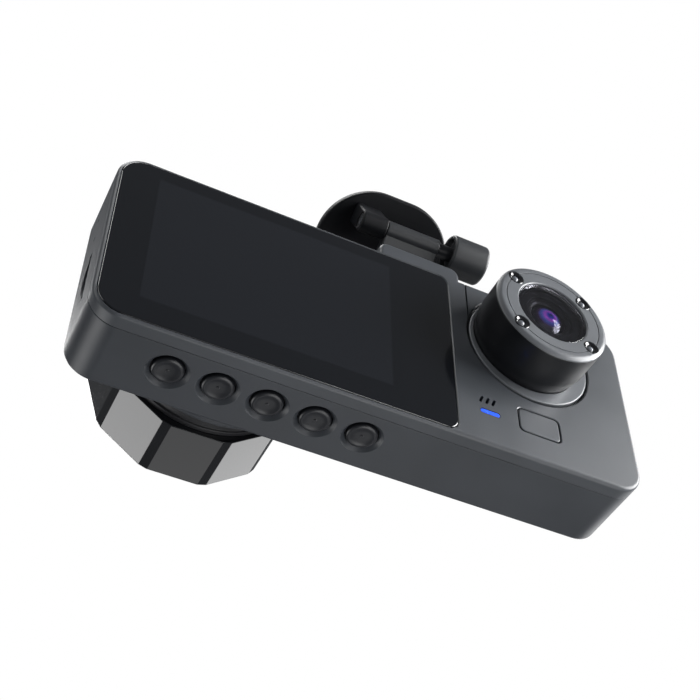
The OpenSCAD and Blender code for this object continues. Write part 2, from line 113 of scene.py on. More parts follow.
class Shader:
    """One material and the few node moves that the finishes need."""

    def __init__(self, name: str) -> None:
        """Starts a material with a Principled shader and Object coordinates.

        Args:
            name: Name of the new material.
        """
        self.material = bpy.data.materials.new(name)
        self.material.use_nodes = True
        self.nodes = self.material.node_tree.nodes
        self.links = self.material.node_tree.links
        self.shader = self.nodes["Principled BSDF"]
        self.place = self.nodes.new("ShaderNodeTexCoord").outputs["Object"]

    def set(self, **values: object) -> None:
        """Sets the shader's own sockets; underscores in a name stand for spaces."""
        for name, value in values.items():
            self.shader.inputs[name.replace("_", " ")].default_value = value

    def feed(self, name: str, socket: Socket) -> None:
        """Links a socket to the shader's input of that name."""
        self.links.new(socket, self.shader.inputs[name])

    def noise(self, size: float, detail: float = 2.0, rough: float = 0.5) -> Socket:
        """Noise whose features are about size millimetres.

        Args:
            size: Size of its features in millimetres.
            detail: Number of finer layers.
            rough: Strength of the finer layers.

        Returns:
            The noise, from 0 to 1.
        """
        node = self.nodes.new("ShaderNodeTexNoise")
        node.inputs["Scale"].default_value = 1 / (size * MM)
        node.inputs["Detail"].default_value = detail
        node.inputs["Roughness"].default_value = rough
        self.links.new(self.place, node.inputs["Vector"])
        return node.outputs["Fac"]

    def cells(self, size: float) -> Socket:
        """Distance to the nearest of scattered points about size millimetres apart.

        Args:
            size: Distance between the points in millimetres.

        Returns:
            The distance, in cells.
        """
        node = self.nodes.new("ShaderNodeTexVoronoi")
        node.inputs["Scale"].default_value = 1 / (size * MM)
        self.links.new(self.place, node.inputs["Vector"])
        return node.outputs["Distance"]

    def remap(self, value: Socket, start: float, end: float, low: float, high: float) -> Socket:
        """Turns the stretch start to end of a value into low to high, clamped.

        Args:
            value: The socket that is read.
            start: Where the stretch begins.
            end: Where it ends.
            low: The result at start.
            high: The result at end.

        Returns:
            The socket of the result.
        """
        node = self.nodes.new("ShaderNodeMapRange")
        self.links.new(value, node.inputs["Value"])
        for name, number in zip(("From Min", "From Max", "To Min", "To Max"), (start, end, low, high)):
            node.inputs[name].default_value = number
        return node.outputs["Result"]

    def math(self, kind: str, first: Socket, second: Optional[Socket] = None) -> Socket:
        """Result of one math node on one or two sockets.

        Args:
            kind: The node's operation.
            first: First operand.
            second: Second operand, if the operation has one.

        Returns:
            The result.
        """
        node = self.nodes.new("ShaderNodeMath")
        node.operation = kind
        self.links.new(first, node.inputs[0])
        if second is not None:
            self.links.new(second, node.inputs[1])
        return node.outputs[0]

    def tint(self, factor: Socket, dark: Point, light: Point) -> Socket:
        """Colour that goes from dark to light with the factor.

        Args:
            factor: 0 for dark, 1 for light.
            dark: Colour at 0.
            light: Colour at 1.

        Returns:
            The colour.
        """
        node = self.nodes.new("ShaderNodeMix")
        node.data_type = "RGBA"
        self.links.new(factor, node.inputs["Factor"])
        node.inputs["A"].default_value = (*dark, 1)
        node.inputs["B"].default_value = (*light, 1)
        return node.outputs["Result"]

    def tint_over(self, factor: Socket, under: Socket, top: Point) -> Socket:
        """Colour under, painted over with top where the factor is 1.

        Args:
            factor: How much of the top colour covers.
            under: The colour below.
            top: The colour that covers it.

        Returns:
            The colour.
        """
        node = self.nodes.new("ShaderNodeMix")
        node.data_type = "RGBA"
        self.links.new(factor, node.inputs["Factor"])
        self.links.new(under, node.inputs["A"])
        node.inputs["B"].default_value = (*top, 1)
        return node.outputs["Result"]

    def bump(self, height: Socket, strength: float, depth: float) -> None:
        """Feeds the shader's normal from a height, depth millimetres at full strength.

        Args:
            height: Height of the surface, from 0 to 1.
            strength: Strength of the effect.
            depth: Depth in millimetres at full strength.
        """
        node = self.nodes.new("ShaderNodeBump")
        node.inputs["Strength"].default_value = strength
        node.inputs["Distance"].default_value = depth * MM
        self.links.new(height, node.inputs["Height"])
        self.feed("Normal", node.outputs["Normal"])

    def radius_from(self, centre: Vector) -> Socket:
        """Distance in metres from a line along Y through centre, a point in metres.

        Args:
            centre: A point in metres that the line passes through.

        Returns:
            The distance.
        """
        move = self.nodes.new("ShaderNodeMapping")
        move.inputs["Location"].default_value = (-centre.x, 0, -centre.z)
        move.inputs["Scale"].default_value = (1, 0, 1)
        self.links.new(self.place, move.inputs["Vector"])
        length = self.nodes.new("ShaderNodeVectorMath")
        length.operation = "LENGTH"
        self.links.new(move.outputs["Vector"], length.inputs[0])
        return length.outputs["Value"]

    def bands(self, value: Socket, stops: Sequence[tuple[float, Point]]) -> Socket:
        """Colour ramp with the given stops.

        Args:
            value: Place along the ramp, from 0 to 1.
            stops: Places and colours of the stops.

        Returns:
            The colour.
        """
        node = self.nodes.new("ShaderNodeValToRGB")
        ramp = node.color_ramp
        while len(ramp.elements) < len(stops):
            ramp.elements.new(0.5)
        for element, (place, colour) in zip(ramp.elements, stops):
            element.position = place
            element.color = (*colour, 1)
        self.links.new(value, node.inputs["Fac"])
        return node.outputs["Color"]


def scaled(colour: Point, factor: float) -> tuple[float, float, float]:
    """The colour made lighter or darker by a factor."""
    return tuple(min(1.0, c * factor) for c in colour)


@dataclass(frozen=True)
class MouldedPlastic:
    """Injection-moulded plastic with a fine spark-eroded grain and faint flow clouds."""

    name: str
    colour: tuple[float, float, float]
    roughness: float = 0.42
    grain: float = 0.22
    grain_size: float = 0.16
    clouds: float = 0.10
    specular: float = 0.5

    def make(self) -> bpy.types.Material:
        """Builds the material.

        Returns:
            The finished material.
        """
        shader = Shader(self.name)
        cloud = shader.noise(14.0, 3.0)
        fine = shader.noise(self.grain_size, 2.0, 0.6)
        mottle = shader.math("MULTIPLY", cloud, shader.remap(fine, 0.3, 0.7, 0.85, 1.15))
        colour = shader.tint(
            shader.remap(mottle, 0.3, 0.7, 0, 1),
            scaled(self.colour, 1 - self.clouds), scaled(self.colour, 1 + self.clouds))
        shader.feed("Base Color", colour)
        shader.feed("Roughness", shader.remap(
            mottle, 0.3, 0.7, self.roughness - 0.04, self.roughness + 0.05))
        shader.bump(fine, self.grain, 0.012)
        shader.set(Specular_IOR_Level=self.specular)
        return shader.material


@dataclass(frozen=True)
class PolishedPlastic:
    """High-gloss moulded plastic with a little dust and hairline handling haze."""

    name: str
    colour: tuple[float, float, float]
    roughness: float = 0.05
    haze: float = 0.07
    coat: float = 0.6

    def make(self) -> bpy.types.Material:
        """Builds the material.

        Returns:
            The finished material.
        """
        shader = Shader(self.name)
        haze = shader.noise(6.0, 4.0)
        specks = shader.remap(shader.cells(1.6), 0.0, 0.045, 1.0, 0.0)
        base = shader.tint(haze, scaled(self.colour, 0.85), scaled(self.colour, 1.15))
        shader.feed("Base Color", shader.tint_over(
            shader.math("MULTIPLY", specks, shader.remap(haze, 0.5, 0.62, 0.0, 0.6)), base, (0.2, 0.2, 0.2)))
        shader.feed("Roughness", shader.remap(haze, 0.4, 0.7, self.roughness, self.roughness + self.haze))
        shader.bump(shader.noise(9.0, 1.0), 0.05, 0.05)
        shader.set(Coat_Weight=self.coat, Coat_Roughness=0.03)
        return shader.material


@dataclass(frozen=True)
class BackPrintedGlass:
    """Cover glass printed black behind, with the display's active area just visible."""

    name: str
    colour: tuple[float, float, float]
    active: tuple[float, float, float]
    centre: tuple[float, float]
    half: tuple[float, float]

    def make(self, bench: "Bench") -> bpy.types.Material:
        """Builds the material for a pane in the X-Z plane.

        Args:
            bench: The bench whose coordinates centre and half are given in.

        Returns:
            The finished material.
        """
        shader = Shader(self.name)
        split = shader.nodes.new("ShaderNodeSeparateXYZ")
        move = shader.nodes.new("ShaderNodeMapping")
        middle = bench.metres((self.centre[0], 0, self.centre[1]))
        move.inputs["Location"].default_value = (-middle.x, 0, -middle.z)
        shader.links.new(shader.place, move.inputs["Vector"])
        shader.links.new(move.outputs["Vector"], split.inputs["Vector"])
        inside = None
        for name, half in zip(("X", "Z"), self.half):
            away = shader.math("ABSOLUTE", split.outputs[name])
            edge = shader.remap(away, (half - 0.2) * MM, half * MM, 1, 0)
            inside = edge if inside is None else shader.math("MULTIPLY", inside, edge)
        smear = shader.noise(18.0, 4.0, 0.6)
        base = shader.tint(smear, scaled(self.colour, 0.9), scaled(self.colour, 1.1))
        shader.feed("Base Color", shader.tint_over(inside, base, self.active))
        shader.feed("Roughness", shader.remap(smear, 0.35, 0.7, 0.10, 0.17))
        shader.set(Coat_Weight=0.7, Coat_Roughness=0.05, IOR=1.5)
        return shader.material


@dataclass(frozen=True)
class ClearGlass:
    """Clear or smoked optical glass."""

    name: str
    colour: tuple[float, float, float]
    roughness: float = 0.0
    film: float = 0.0

    def make(self) -> bpy.types.Material:
        """Builds the material.

        Returns:
            The finished material.
        """
        shader = Shader(self.name)
        shader.feed("Base Color", shader.tint(
            shader.noise(4.0, 2.0), scaled(self.colour, 0.97), self.colour))
        shader.feed("Roughness", shader.remap(
            shader.noise(2.5, 3.0), 0.4, 0.75, self.roughness, self.roughness + 0.03))
        shader.set(Transmission_Weight=1.0, IOR=1.5, Thin_Film_Thickness=self.film)
        return shader.material


@dataclass(frozen=True)
class PaintedReflectionLens:
    """Lens element painted with coloured rings round its axis: painted highlights and the painted reflection
    of its antireflection coating, with a painted glow where one is given.
    """

    name: str
    stops: tuple[tuple[float, tuple[float, float, float]], ...]
    radius: float
    painted_glow: float = 0.0

    def make(self, centre: Vector) -> bpy.types.Material:
        """Builds the material.

        Args:
            centre: A point in metres on the lens' axis, which lies along Y.

        Returns:
            The finished material.
        """
        shader = Shader(self.name)
        away = shader.remap(shader.radius_from(centre), 0, self.radius * MM, 0, 1)
        ripple = shader.remap(shader.noise(0.8, 2.0), 0.3, 0.7, -0.02, 0.02)
        # The rings are painted highlight and painted reflection; they feed both the colour and the painted
        # glow.
        colour = shader.bands(shader.math("ADD", away, ripple), self.stops)
        shader.feed("Base Color", colour)
        shader.feed("Emission Color", colour)
        shader.set(Emission_Strength=self.painted_glow, Roughness=0.04, Coat_Weight=1.0, Coat_Roughness=0.02)
        return shader.material


@dataclass(frozen=True)
class BrushedMetal:
    """Turned, drawn or plated metal with fine tool marks."""

    name: str
    colour: tuple[float, float, float]
    roughness: float = 0.28
    marks: float = 0.25

    def make(self) -> bpy.types.Material:
        """Builds the material.

        Returns:
            The finished material.
        """
        shader = Shader(self.name)
        marks = shader.noise(0.22, 4.0, 0.7)
        shader.feed("Base Color", shader.tint(marks, scaled(self.colour, 0.82), self.colour))
        shader.feed("Roughness", shader.remap(
            marks, 0.3, 0.7, self.roughness - 0.06, self.roughness + 0.08))
        shader.bump(marks, self.marks, 0.01)
        shader.set(Metallic=1.0)
        return shader.material


@dataclass(frozen=True)
class Lamp:
    """Light guide or lamp lens that glows, brightest in patches; on the infrared lamps the glow is painted
    light, as they give no visible light.
    """

    name: str
    colour: tuple[float, float, float]
    strength: float

    def make(self) -> bpy.types.Material:
        """Builds the material.

        Returns:
            The finished material.
        """
        shader = Shader(self.name)
        patch = shader.noise(0.9, 2.0)
        colour = shader.tint(patch, scaled(self.colour, 0.8), self.colour)
        shader.feed("Base Color", colour)
        shader.feed("Emission Color", colour)
        shader.feed("Roughness", shader.remap(patch, 0.3, 0.7, 0.15, 0.3))
        shader.set(Emission_Strength=self.strength)
        return shader.material


@dataclass(frozen=True)
class Foam:
    """Closed-cell foam or rubber with a pitted surface."""

    name: str
    colour: tuple[float, float, float]
    cell: float = 0.5

    def make(self) -> bpy.types.Material:
        """Builds the material.

        Returns:
            The finished material.
        """
        shader = Shader(self.name)
        cells = shader.cells(self.cell)
        shader.feed("Base Color", shader.tint(cells, scaled(self.colour, 1.3), scaled(self.colour, 0.7)))
        shader.feed("Roughness", shader.remap(cells, 0, 0.6, 0.75, 0.95))
        shader.bump(cells, 0.5, 0.12)
        return shader.material


@dataclass(frozen=True)
class Laminate:
    """Circuit laminate with solder mask, tracks and small tinned pads."""

    name: str
    mask: tuple[float, float, float]
    track: tuple[float, float, float]

    def make(self) -> bpy.types.Material:
        """Builds the material.

        Returns:
            The finished material.
        """
        shader = Shader(self.name)
        brick = shader.nodes.new("ShaderNodeTexBrick")
        brick.inputs["Scale"].default_value = 1 / (3.2 * MM)
        brick.inputs["Mortar Size"].default_value = 0.02
        brick.inputs["Color1"].default_value = (*self.mask, 1)
        brick.inputs["Color2"].default_value = (*scaled(self.mask, 1.25), 1)
        brick.inputs["Mortar"].default_value = (*self.track, 1)
        shader.links.new(shader.place, brick.inputs["Vector"])
        pads = shader.remap(shader.cells(2.1), 0.0, 0.16, 1.0, 0.0)
        shader.feed("Base Color", shader.tint_over(pads, brick.outputs["Color"], (0.7, 0.68, 0.6)))
        shader.feed("Roughness", shader.remap(pads, 0, 1, 0.38, 0.22))
        shader.bump(brick.outputs["Fac"], 0.3, 0.03)
        return shader.material


class Finishes:
    """Every material of the camera, made once."""

    def __init__(self, bench: "Bench", display: tuple[Vector, Vector], cabin_axis: Vector,
                 road_axis: Vector) -> None:
        """Makes the materials.

        Args:
            bench: The bench, for turning places into metres.
            display: Lowest and highest corner of the display's active area.
            cabin_axis: A point in metres on the cabin lens' axis.
            road_axis: A point in metres on the road lens' axis.
        """
        low, high = display
        centre = ((low.x + high.x) / 2, (low.z + high.z) / 2)
        half = ((high.x - low.x) / 2, (high.z - low.z) / 2)
        dark = (0.004, 0.004, 0.006)
        self.shell = MouldedPlastic("shell_satin_graphite", (0.036, 0.040, 0.047), 0.40, 0.16).make()
        # Painted light: the cover is the shell's graphite made lighter, standing in for the light on the rear
        # face.
        self.cover = MouldedPlastic("cover_graphite_painted_light", (0.050, 0.055, 0.063), 0.42, 0.16).make()
        self.bracket = MouldedPlastic("bracket_satin_black", (0.024, 0.026, 0.029), 0.42, 0.3, 0.2).make()
        # Painted shade: the plate is the bracket's plastic made near black, with lowered specular, to stay as
        # dark as in shadow.
        self.plate = MouldedPlastic(
            "plate_black_painted_shade", (0.004, 0.0045, 0.006), 0.5, 0.25, specular=0.2).make()
        self.trim = MouldedPlastic("trim_satin_slate", (0.035, 0.038, 0.045), 0.36, 0.10, 0.12).make()
        self.face = MouldedPlastic("cabin_face_grey", (0.105, 0.112, 0.122), 0.38, 0.2, 0.14).make()
        self.black = MouldedPlastic("matte_black_plastic", (0.010, 0.010, 0.012), 0.5, 0.25).make()
        self.key = MouldedPlastic("key_dark_plastic", (0.010, 0.011, 0.014), 0.32, 0.15).make()
        self.ivory = MouldedPlastic("switch_ivory", (0.62, 0.58, 0.48), 0.45).make()
        self.gloss = PolishedPlastic("barrel_piano_black", (0.006, 0.0065, 0.008)).make()
        self.head = PolishedPlastic("cabin_cup_black", (0.004, 0.0045, 0.006), 0.3, 0.08, 0.1).make()
        self.screen = BackPrintedGlass(
            "screen_back_printed_glass", (0.0035, 0.0042, 0.006), (0.0075, 0.0086, 0.0115),
            centre, half).make(bench)
        self.road_glass = ClearGlass("road_front_glass", (0.62, 0.64, 0.68), 0.02).make()
        self.window = ClearGlass("cabin_smoked_window", (0.52, 0.52, 0.57)).make()
        # Painted highlights: the road element's lighter middle and outer ring stand in for its glints.
        self.road_painted_highlights = PaintedReflectionLens(
            "road_lens_painted_highlights", ((0.0, (0.05, 0.055, 0.06)), (0.3, (0.012, 0.013, 0.018)),
                                  (0.55, (0.045, 0.045, 0.055)), (1.0, dark)), 4.0).make(road_axis)
        # Painted reflection: the cabin lens' blue and purple rings stand in for its coating's reflection, and
        # glow faintly.
        self.cabin_painted_reflection = PaintedReflectionLens(
            "cabin_lens_painted_reflection", ((0.0, (0.006, 0.006, 0.03)), (0.22, (0.02, 0.03, 0.30)),
                                   (0.42, (0.30, 0.06, 0.42)), (0.62, (0.05, 0.08, 0.32)),
                                   (0.85, (0.03, 0.012, 0.05)), (1.0, dark)), 2.9, 0.9).make(cabin_axis)
        self.steel = BrushedMetal("nickel_steel", (0.60, 0.61, 0.63)).make()
        self.aluminium = BrushedMetal("stamped_aluminium", (0.75, 0.76, 0.78), 0.35).make()
        self.brass = BrushedMetal("turned_brass", (0.72, 0.50, 0.22), 0.25).make()
        # Painted highlights: the silver bars stand where the disc's grooves catch the light.
        self.silver_glint_paint = BrushedMetal("silver_painted_glints", (0.62, 0.61, 0.62), 0.42, 0.1).make()
        self.foam = Foam("mounting_foam", (0.02, 0.02, 0.022)).make()
        self.cone = Foam("speaker_cone", (0.03, 0.03, 0.032), 0.8).make()
        self.board = Laminate("circuit_laminate", (0.012, 0.09, 0.04), (0.03, 0.16, 0.07)).make()
        self.flex = Laminate("flex_cable_film", (0.38, 0.17, 0.03), (0.55, 0.30, 0.08)).make()
        self.wrap = PolishedPlastic("battery_wrap", (0.03, 0.12, 0.30), 0.3).make()
        self.panel = PolishedPlastic("display_module", (0.012, 0.013, 0.016), 0.2).make()
        self.blue = Lamp("status_blue", (0.03, 0.10, 0.75), 0.65).make()
        # Painted glow: the infrared lamps give no visible light, so the domes' faint grey glow stands in for
        # their highlights.
        self.lamp = Lamp("lamp_epoxy", (0.16, 0.17, 0.19), 0.12).make()


# --- bench ------------------------------------------------------------------


@dataclass
class Bench:
    """Modelling moves in millimetres from the middle of the camera body."""

    middle: Vector

    def metres(self, point: Point) -> Vector:
        """A bench point in the row frame."""
        return self.middle + Vector(point) * MM

    def millimetres(self, point: Vector) -> Vector:
        """A row-frame point on the bench."""
        return (point - self.middle) / MM

    def box(self, node: str) -> tuple[Vector, Vector]:
        """Lowest and highest corner of a CAD node, in millimetres."""
        low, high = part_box(node)
        return self.millimetres(low), self.millimetres(high)

    @staticmethod
    def only(*pieces: Piece) -> None:
        """Selects just these objects and makes the first one active.

        Args:
            pieces: The objects.
        """
        bpy.ops.object.select_all(action="DESELECT")
        for piece in pieces:
            piece.select_set(True)
        bpy.context.view_layer.objects.active = pieces[0]

    def settle(self, piece: Piece) -> Piece:
        """Applies the object's place, so its origin is the row frame's.

        Args:
            piece: The object.

        Returns:
            The same object.
        """
        self.only(piece)
        bpy.ops.object.transform_apply(location=True, rotation=True, scale=True)
        return piece

    def named(self, name: str) -> Piece:
        """Names the newest object and settles it.

        Args:
            name: Its name.

        Returns:
            The new object.
        """
        piece = bpy.context.active_object
        piece.name = name
        piece.data.name = name
        return self.settle(piece)

    def block(self, name: str, low: Point, high: Point) -> Piece:
        """Box between two corners.

        Args:
            name: The new object's name.
            low: Its lowest corner.
            high: Its highest corner.

        Returns:
            The new object.
        """
        bpy.ops.object.select_all(action="DESELECT")
        a, b = self.metres(low), self.metres(high)
        bpy.ops.mesh.primitive_cube_add(size=1, location=(a + b) / 2, scale=b - a)
        return self.named(name)

    def rod(self, name: str, foot: Point, axis: Axis, radius: float, length: float,
            sides: int = 72, turn: float = 0.0) -> Piece:
        """Rod that starts at foot and runs along an axis.

        Args:
            name: The new object's name.
            foot: Middle of the rod's first end.
            axis: Direction that the rod runs in.
            radius: Radius of its corners.
            length: Its length.
            sides: Number of sides.
            turn: Degrees that its first corner is turned about its axis.

        Returns:
            The new object.
        """
        bpy.ops.object.select_all(action="DESELECT")
        lie = {Axis.X: Matrix.Rotation(math.pi / 2, 3, "Y"), Axis.Y: Matrix.Rotation(-math.pi / 2, 3, "X"),
               Axis.Z: Matrix.Identity(3)}[axis]
        place = self.metres(Vector(foot) + axis.way * length / 2)
        bpy.ops.mesh.primitive_cylinder_add(
            vertices=sides, radius=radius * MM, depth=length * MM, location=place,
            rotation=(lie @ Matrix.Rotation(math.radians(turn), 3, "Z")).to_euler())
        return self.named(name)

    def start_line(self, name: str, first: Point) -> Piece:
        """New object in edit mode with one selected vertex at first.

        Args:
            name: The new object's name.
            first: Place of the vertex.

        Returns:
            The new object.
        """
        bpy.ops.object.select_all(action="DESELECT")
        bpy.ops.mesh.primitive_plane_add(size=MM, location=self.metres(first))
        piece = self.named(name)
        bpy.ops.object.mode_set(mode="EDIT")
        bpy.ops.mesh.select_mode(type="VERT")
        bpy.ops.mesh.select_all(action="SELECT")
        bpy.ops.mesh.merge(type="CENTER")
        return piece

    def draw_line(self, points: Sequence[Point]) -> None:
        """Extrudes the selected vertex from the first of the points through the others.

        Args:
            points: The points in order, the first being the vertex itself.
        """
        for here, there in zip(points, points[1:]):
            step = (Vector(there) - Vector(here)) * MM
            bpy.ops.mesh.extrude_vertices_move(TRANSFORM_OT_translate={"value": step})

    def turned(self, name: str, foot: Point, axis: Axis, profile: Profile, steps: int = 96) -> Piece:
        """Turned piece from a profile of (radius, distance along the axis) pairs.

        Args:
            name: The new object's name.
            foot: Point on the axis from which distances are counted.
            axis: The axis it is turned about.
            profile: The outline; it ends where it began, or both ends lie on the axis.
            steps: Number of steps in the full turn.

        Returns:
            The new object, closed and with its faces outwards.
        """
        points = [Vector(foot) + axis.across * radius + axis.way * along for radius, along in profile]
        piece = self.start_line(name, points[0])
        self.draw_line(points)
        bpy.ops.mesh.select_all(action="SELECT")
        bpy.ops.mesh.spin(steps=steps, angle=math.tau, center=self.metres(foot), axis=axis.value)
        bpy.ops.mesh.select_all(action="SELECT")
        bpy.ops.mesh.remove_doubles(threshold=0.002 * MM)
        bpy.ops.mesh.select_all(action="SELECT")
        bpy.ops.mesh.normals_make_consistent(inside=False)
        bpy.ops.object.mode_set(mode="OBJECT")
        return piece

    def prism(self, name: str, axis: Axis, start: float, end: float,
              outline: Sequence[tuple[float, float]]) -> Piece:
        """Extrudes an outline along X or Y.

        Args:
            name: The new object's name.
            axis: Axis.X, with an outline of Y and Z, or Axis.Y, with an outline of X and Z.
            start: Where the prism starts along the axis.
            end: Where it ends.
            outline: The corners in order.

        Returns:
            The new object, closed and with its faces outwards.
        """
        points = [(start, a, b) if axis is Axis.X else (a, start, b) for a, b in outline]
        piece = self.start_line(name, points[0])
        self.draw_line(points)
        bpy.ops.mesh.select_all(action="SELECT")
        bpy.ops.mesh.edge_face_add()
        bpy.ops.mesh.extrude_region_move(
            TRANSFORM_OT_translate={"value": axis.way * (end - start) * MM})
        bpy.ops.mesh.select_all(action="SELECT")
        bpy.ops.mesh.normals_make_consistent(inside=False)
        bpy.ops.object.mode_set(mode="OBJECT")
        return piece

    def pick_edges(self, piece: Piece, wanted: Callable[[Vector, Vector], bool]) -> None:
        """Enters edit mode with the edges selected whose two ends pass the test.

        Args:
            piece: The object.
            wanted: Test of an edge's two ends, in millimetres.
        """
        self.only(piece)
        bpy.ops.object.mode_set(mode="EDIT")
        bpy.ops.mesh.select_mode(type="EDGE")
        bpy.ops.mesh.select_all(action="DESELECT")
        mesh = bmesh.from_edit_mesh(piece.data)
        for edge in mesh.edges:
            a, b = (self.millimetres(vertex.co) for vertex in edge.verts)
            edge.select_set(wanted(a, b))
        bmesh.update_edit_mesh(piece.data)

    def pick_faces(self, piece: Piece, wanted: Callable[[Vector, Vector], bool]) -> None:
        """Enters edit mode with the faces selected whose middle and normal pass the test.

        Args:
            piece: The object.
            wanted: Test of a face's middle and normal, in millimetres.
        """
        self.only(piece)
        bpy.ops.object.mode_set(mode="EDIT")
        bpy.ops.mesh.select_mode(type="FACE")
        bpy.ops.mesh.select_all(action="DESELECT")
        mesh = bmesh.from_edit_mesh(piece.data)
        for face in mesh.faces:
            face.select_set(wanted(self.millimetres(face.calc_center_median()), face.normal))
        bmesh.update_edit_mesh(piece.data)

    def soften(self, piece: Piece, wanted: Callable[[Vector, Vector], bool], radius: float,
               segments: int = 4) -> Piece:
        """Rounds the edges that pass the test to a radius.

        Args:
            piece: The object.
            wanted: Test of an edge's two ends.
            radius: Radius of the rounding.
            segments: Number of flats in the rounding.

        Returns:
            The same object.
        """
        self.pick_edges(piece, wanted)
        bpy.ops.mesh.bevel(offset=radius * MM, segments=segments, affect="EDGES", clamp_overlap=True)
        bpy.ops.object.mode_set(mode="OBJECT")
        return piece

    def soften_rim(self, piece: Piece, axis: Axis, level: float, radius: float,
                   segments: int = 4) -> Piece:
        """Rounds the edges that lie in the plane at a level of an axis.

        Args:
            piece: The object.
            axis: The axis the plane is square to.
            level: Place of the plane along it.
            radius: Radius of the rounding.
            segments: Number of flats in the rounding.

        Returns:
            The same object.
        """
        index = "XYZ".index(axis.name)
        return self.soften(
            piece, lambda a, b: abs(a[index] - level) < 0.01 and abs(b[index] - level) < 0.01,
            radius, segments)

    def rounded_block(self, name: str, low: Point, high: Point, axis: Axis, corner: float,
                      segments: int = 10) -> Piece:
        """Box with its four edges along an axis rounded.

        Args:
            name: The new object's name.
            low: Its lowest corner.
            high: Its highest corner.
            axis: The axis its rounded edges lie along.
            corner: Radius of those edges.
            segments: Number of flats in each.

        Returns:
            The new object.
        """
        piece = self.block(name, low, high)
        index = "XYZ".index(axis.name)
        return self.soften(piece, lambda a, b: abs(a[index] - b[index]) > 0.01, corner, segments)

    def flare(self, tool: Piece, axis: Axis, level: float, lip: float, outwards: float = 1.0) -> Piece:
        """Widens a cutting tool's end so that its hole gets a chamfered mouth.

        Args:
            tool: A prism along the axis, whose end lies at level.
            axis: The axis the tool runs along.
            level: Where the tool ends, one lip short of the surface.
            lip: Width of the chamfer.
            outwards: 1 if the surface faces along the axis, or -1.

        Returns:
            The tool.
        """
        index = "XYZ".index(axis.name)
        self.pick_faces(tool, lambda middle, normal: abs(middle[index] - level) < 0.01)
        mesh = bmesh.from_edit_mesh(tool.data)
        corners = [v.co.copy() for v in mesh.verts if v.select]
        low = Vector(min(c[i] for c in corners) for i in range(3))
        high = Vector(max(c[i] for c in corners) for i in range(3))
        size = high - low
        grow = [1.0 if i == index else (size[i] + 2 * lip * MM) / size[i] for i in range(3)]
        step = axis.way * outwards * MM
        bpy.ops.mesh.extrude_region_move(TRANSFORM_OT_translate={"value": step * lip})
        bpy.ops.transform.resize(value=grow, center_override=(low + high) / 2)
        bpy.ops.mesh.extrude_region_move(TRANSFORM_OT_translate={"value": step})
        bpy.ops.object.mode_set(mode="OBJECT")
        return tool

    def join(self, *pieces: Piece) -> Piece:
        """Joins objects into the first one.

        Args:
            pieces: The objects, of which the first keeps its name.

        Returns:
            The first object.
        """
        self.only(*pieces)
        if len(pieces) > 1:
            bpy.ops.object.join()
        return pieces[0]

    def combine(self, piece: Piece, how: Cut, *tools: Piece) -> Piece:
        """Cuts or adds each tool, and removes it.

        Args:
            piece: The object that is changed.
            how: Whether the tools are taken away or added.
            tools: The tools.

        Returns:
            The changed object.
        """
        for tool in tools:
            self.only(piece)
            change = piece.modifiers.new("change", "BOOLEAN")
            change.operation = how.value
            change.solver = "EXACT"
            change.object = tool
            bpy.ops.object.modifier_apply(modifier=change.name)
            bpy.data.objects.remove(tool)
        return piece

    def copies(self, piece: Piece, moves: Sequence[Matrix]) -> Piece:
        """Copies a piece with its own mesh once per move, a matrix in bench millimetres, and joins them.

        Args:
            piece: The pattern, which is used up.
            moves: Where each copy goes, relative to the pattern.

        Returns:
            One object that holds all the copies.
        """
        made = []
        to_bench = Matrix.Scale(1 / MM, 4) @ Matrix.Translation(-self.middle)
        for move in moves:
            self.only(piece)
            bpy.ops.object.duplicate(linked=False)
            copy = bpy.context.active_object
            copy.matrix_world = to_bench.inverted() @ move @ to_bench
            made.append(self.settle(copy))
        name = piece.name
        bpy.data.objects.remove(piece)
        whole = self.join(*made)
        whole.name = name
        return whole

    def smooth(self, piece: Piece, angle: float = 32.0) -> None:
        """Shades a piece smooth across soft edges, with its flat faces kept flat.

        Args:
            piece: The object.
            angle: Edges sharper than this many degrees stay sharp.
        """
        self.only(piece)
        bpy.ops.object.shade_smooth_by_angle(angle=math.radians(angle))
        weigh = piece.modifiers.new("weigh", "WEIGHTED_NORMAL")
        weigh.keep_sharp = True
        bpy.ops.object.modifier_apply(modifier=weigh.name)

    def dress(self, piece: Piece, material: bpy.types.Material, body: str, slot: str,
              stands_for: Sequence[str] = (), angle: float = 32.0) -> Piece:
        """Finishes a piece and hands it to the frame.

        Args:
            piece: The finished mesh.
            material: Its material.
            body: The body it rides on.
            slot: The record's material slot; not used.
            stands_for: CAD nodes that it replaces.
            angle: Edges sharper than this many degrees stay sharp.

        Returns:
            The piece.
        """
        self.smooth(piece, angle)
        piece.data.materials.clear()
        piece.data.materials.append(material)
        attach(piece, body)
        if stands_for:
            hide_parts(*stands_for)
        LOG.info("%s: %d faces, on %s", piece.name, len(piece.data.polygons), body)
        return piece


def curve(*corners: tuple[float, float, float], steps: int = 4) -> Profile:
    """Profile through corners given as (radius, along, rounding).

    Args:
        corners: The corners; a rounding of 0 keeps a corner sharp.
        steps: Number of pieces that a rounded corner is drawn with.

    Returns:
        The points of the profile, in the same order.
    """
    points: Profile = []
    last = len(corners) - 1
    for index, (radius, along, rounding) in enumerate(corners):
        here = Vector((radius, along))
        if rounding == 0 or index in (0, last):
            points.append((radius, along))
            continue
        before = Vector(corners[index - 1][:2]) - here
        after = Vector(corners[index + 1][:2]) - here
        start = here + before.normalized() * rounding
        end = here + after.normalized() * rounding
        for step in range(steps + 1):
            t = step / steps
            point = start * (1 - t) ** 2 + here * 2 * t * (1 - t) + end * t ** 2
            points.append((point.x, point.y))
    return points


def arc(radius: float, centre: float, start: float, end: float, steps: int = 10) -> Profile:
    """Profile points of an arc about a point on the axis, from start to end in degrees above level."""
    angles = [math.radians(start + (end - start) * step / steps) for step in range(steps + 1)]
    return [(radius * math.cos(a), centre + radius * math.sin(a)) for a in angles]


# --- sub-assemblies ---------------------------------------------------------


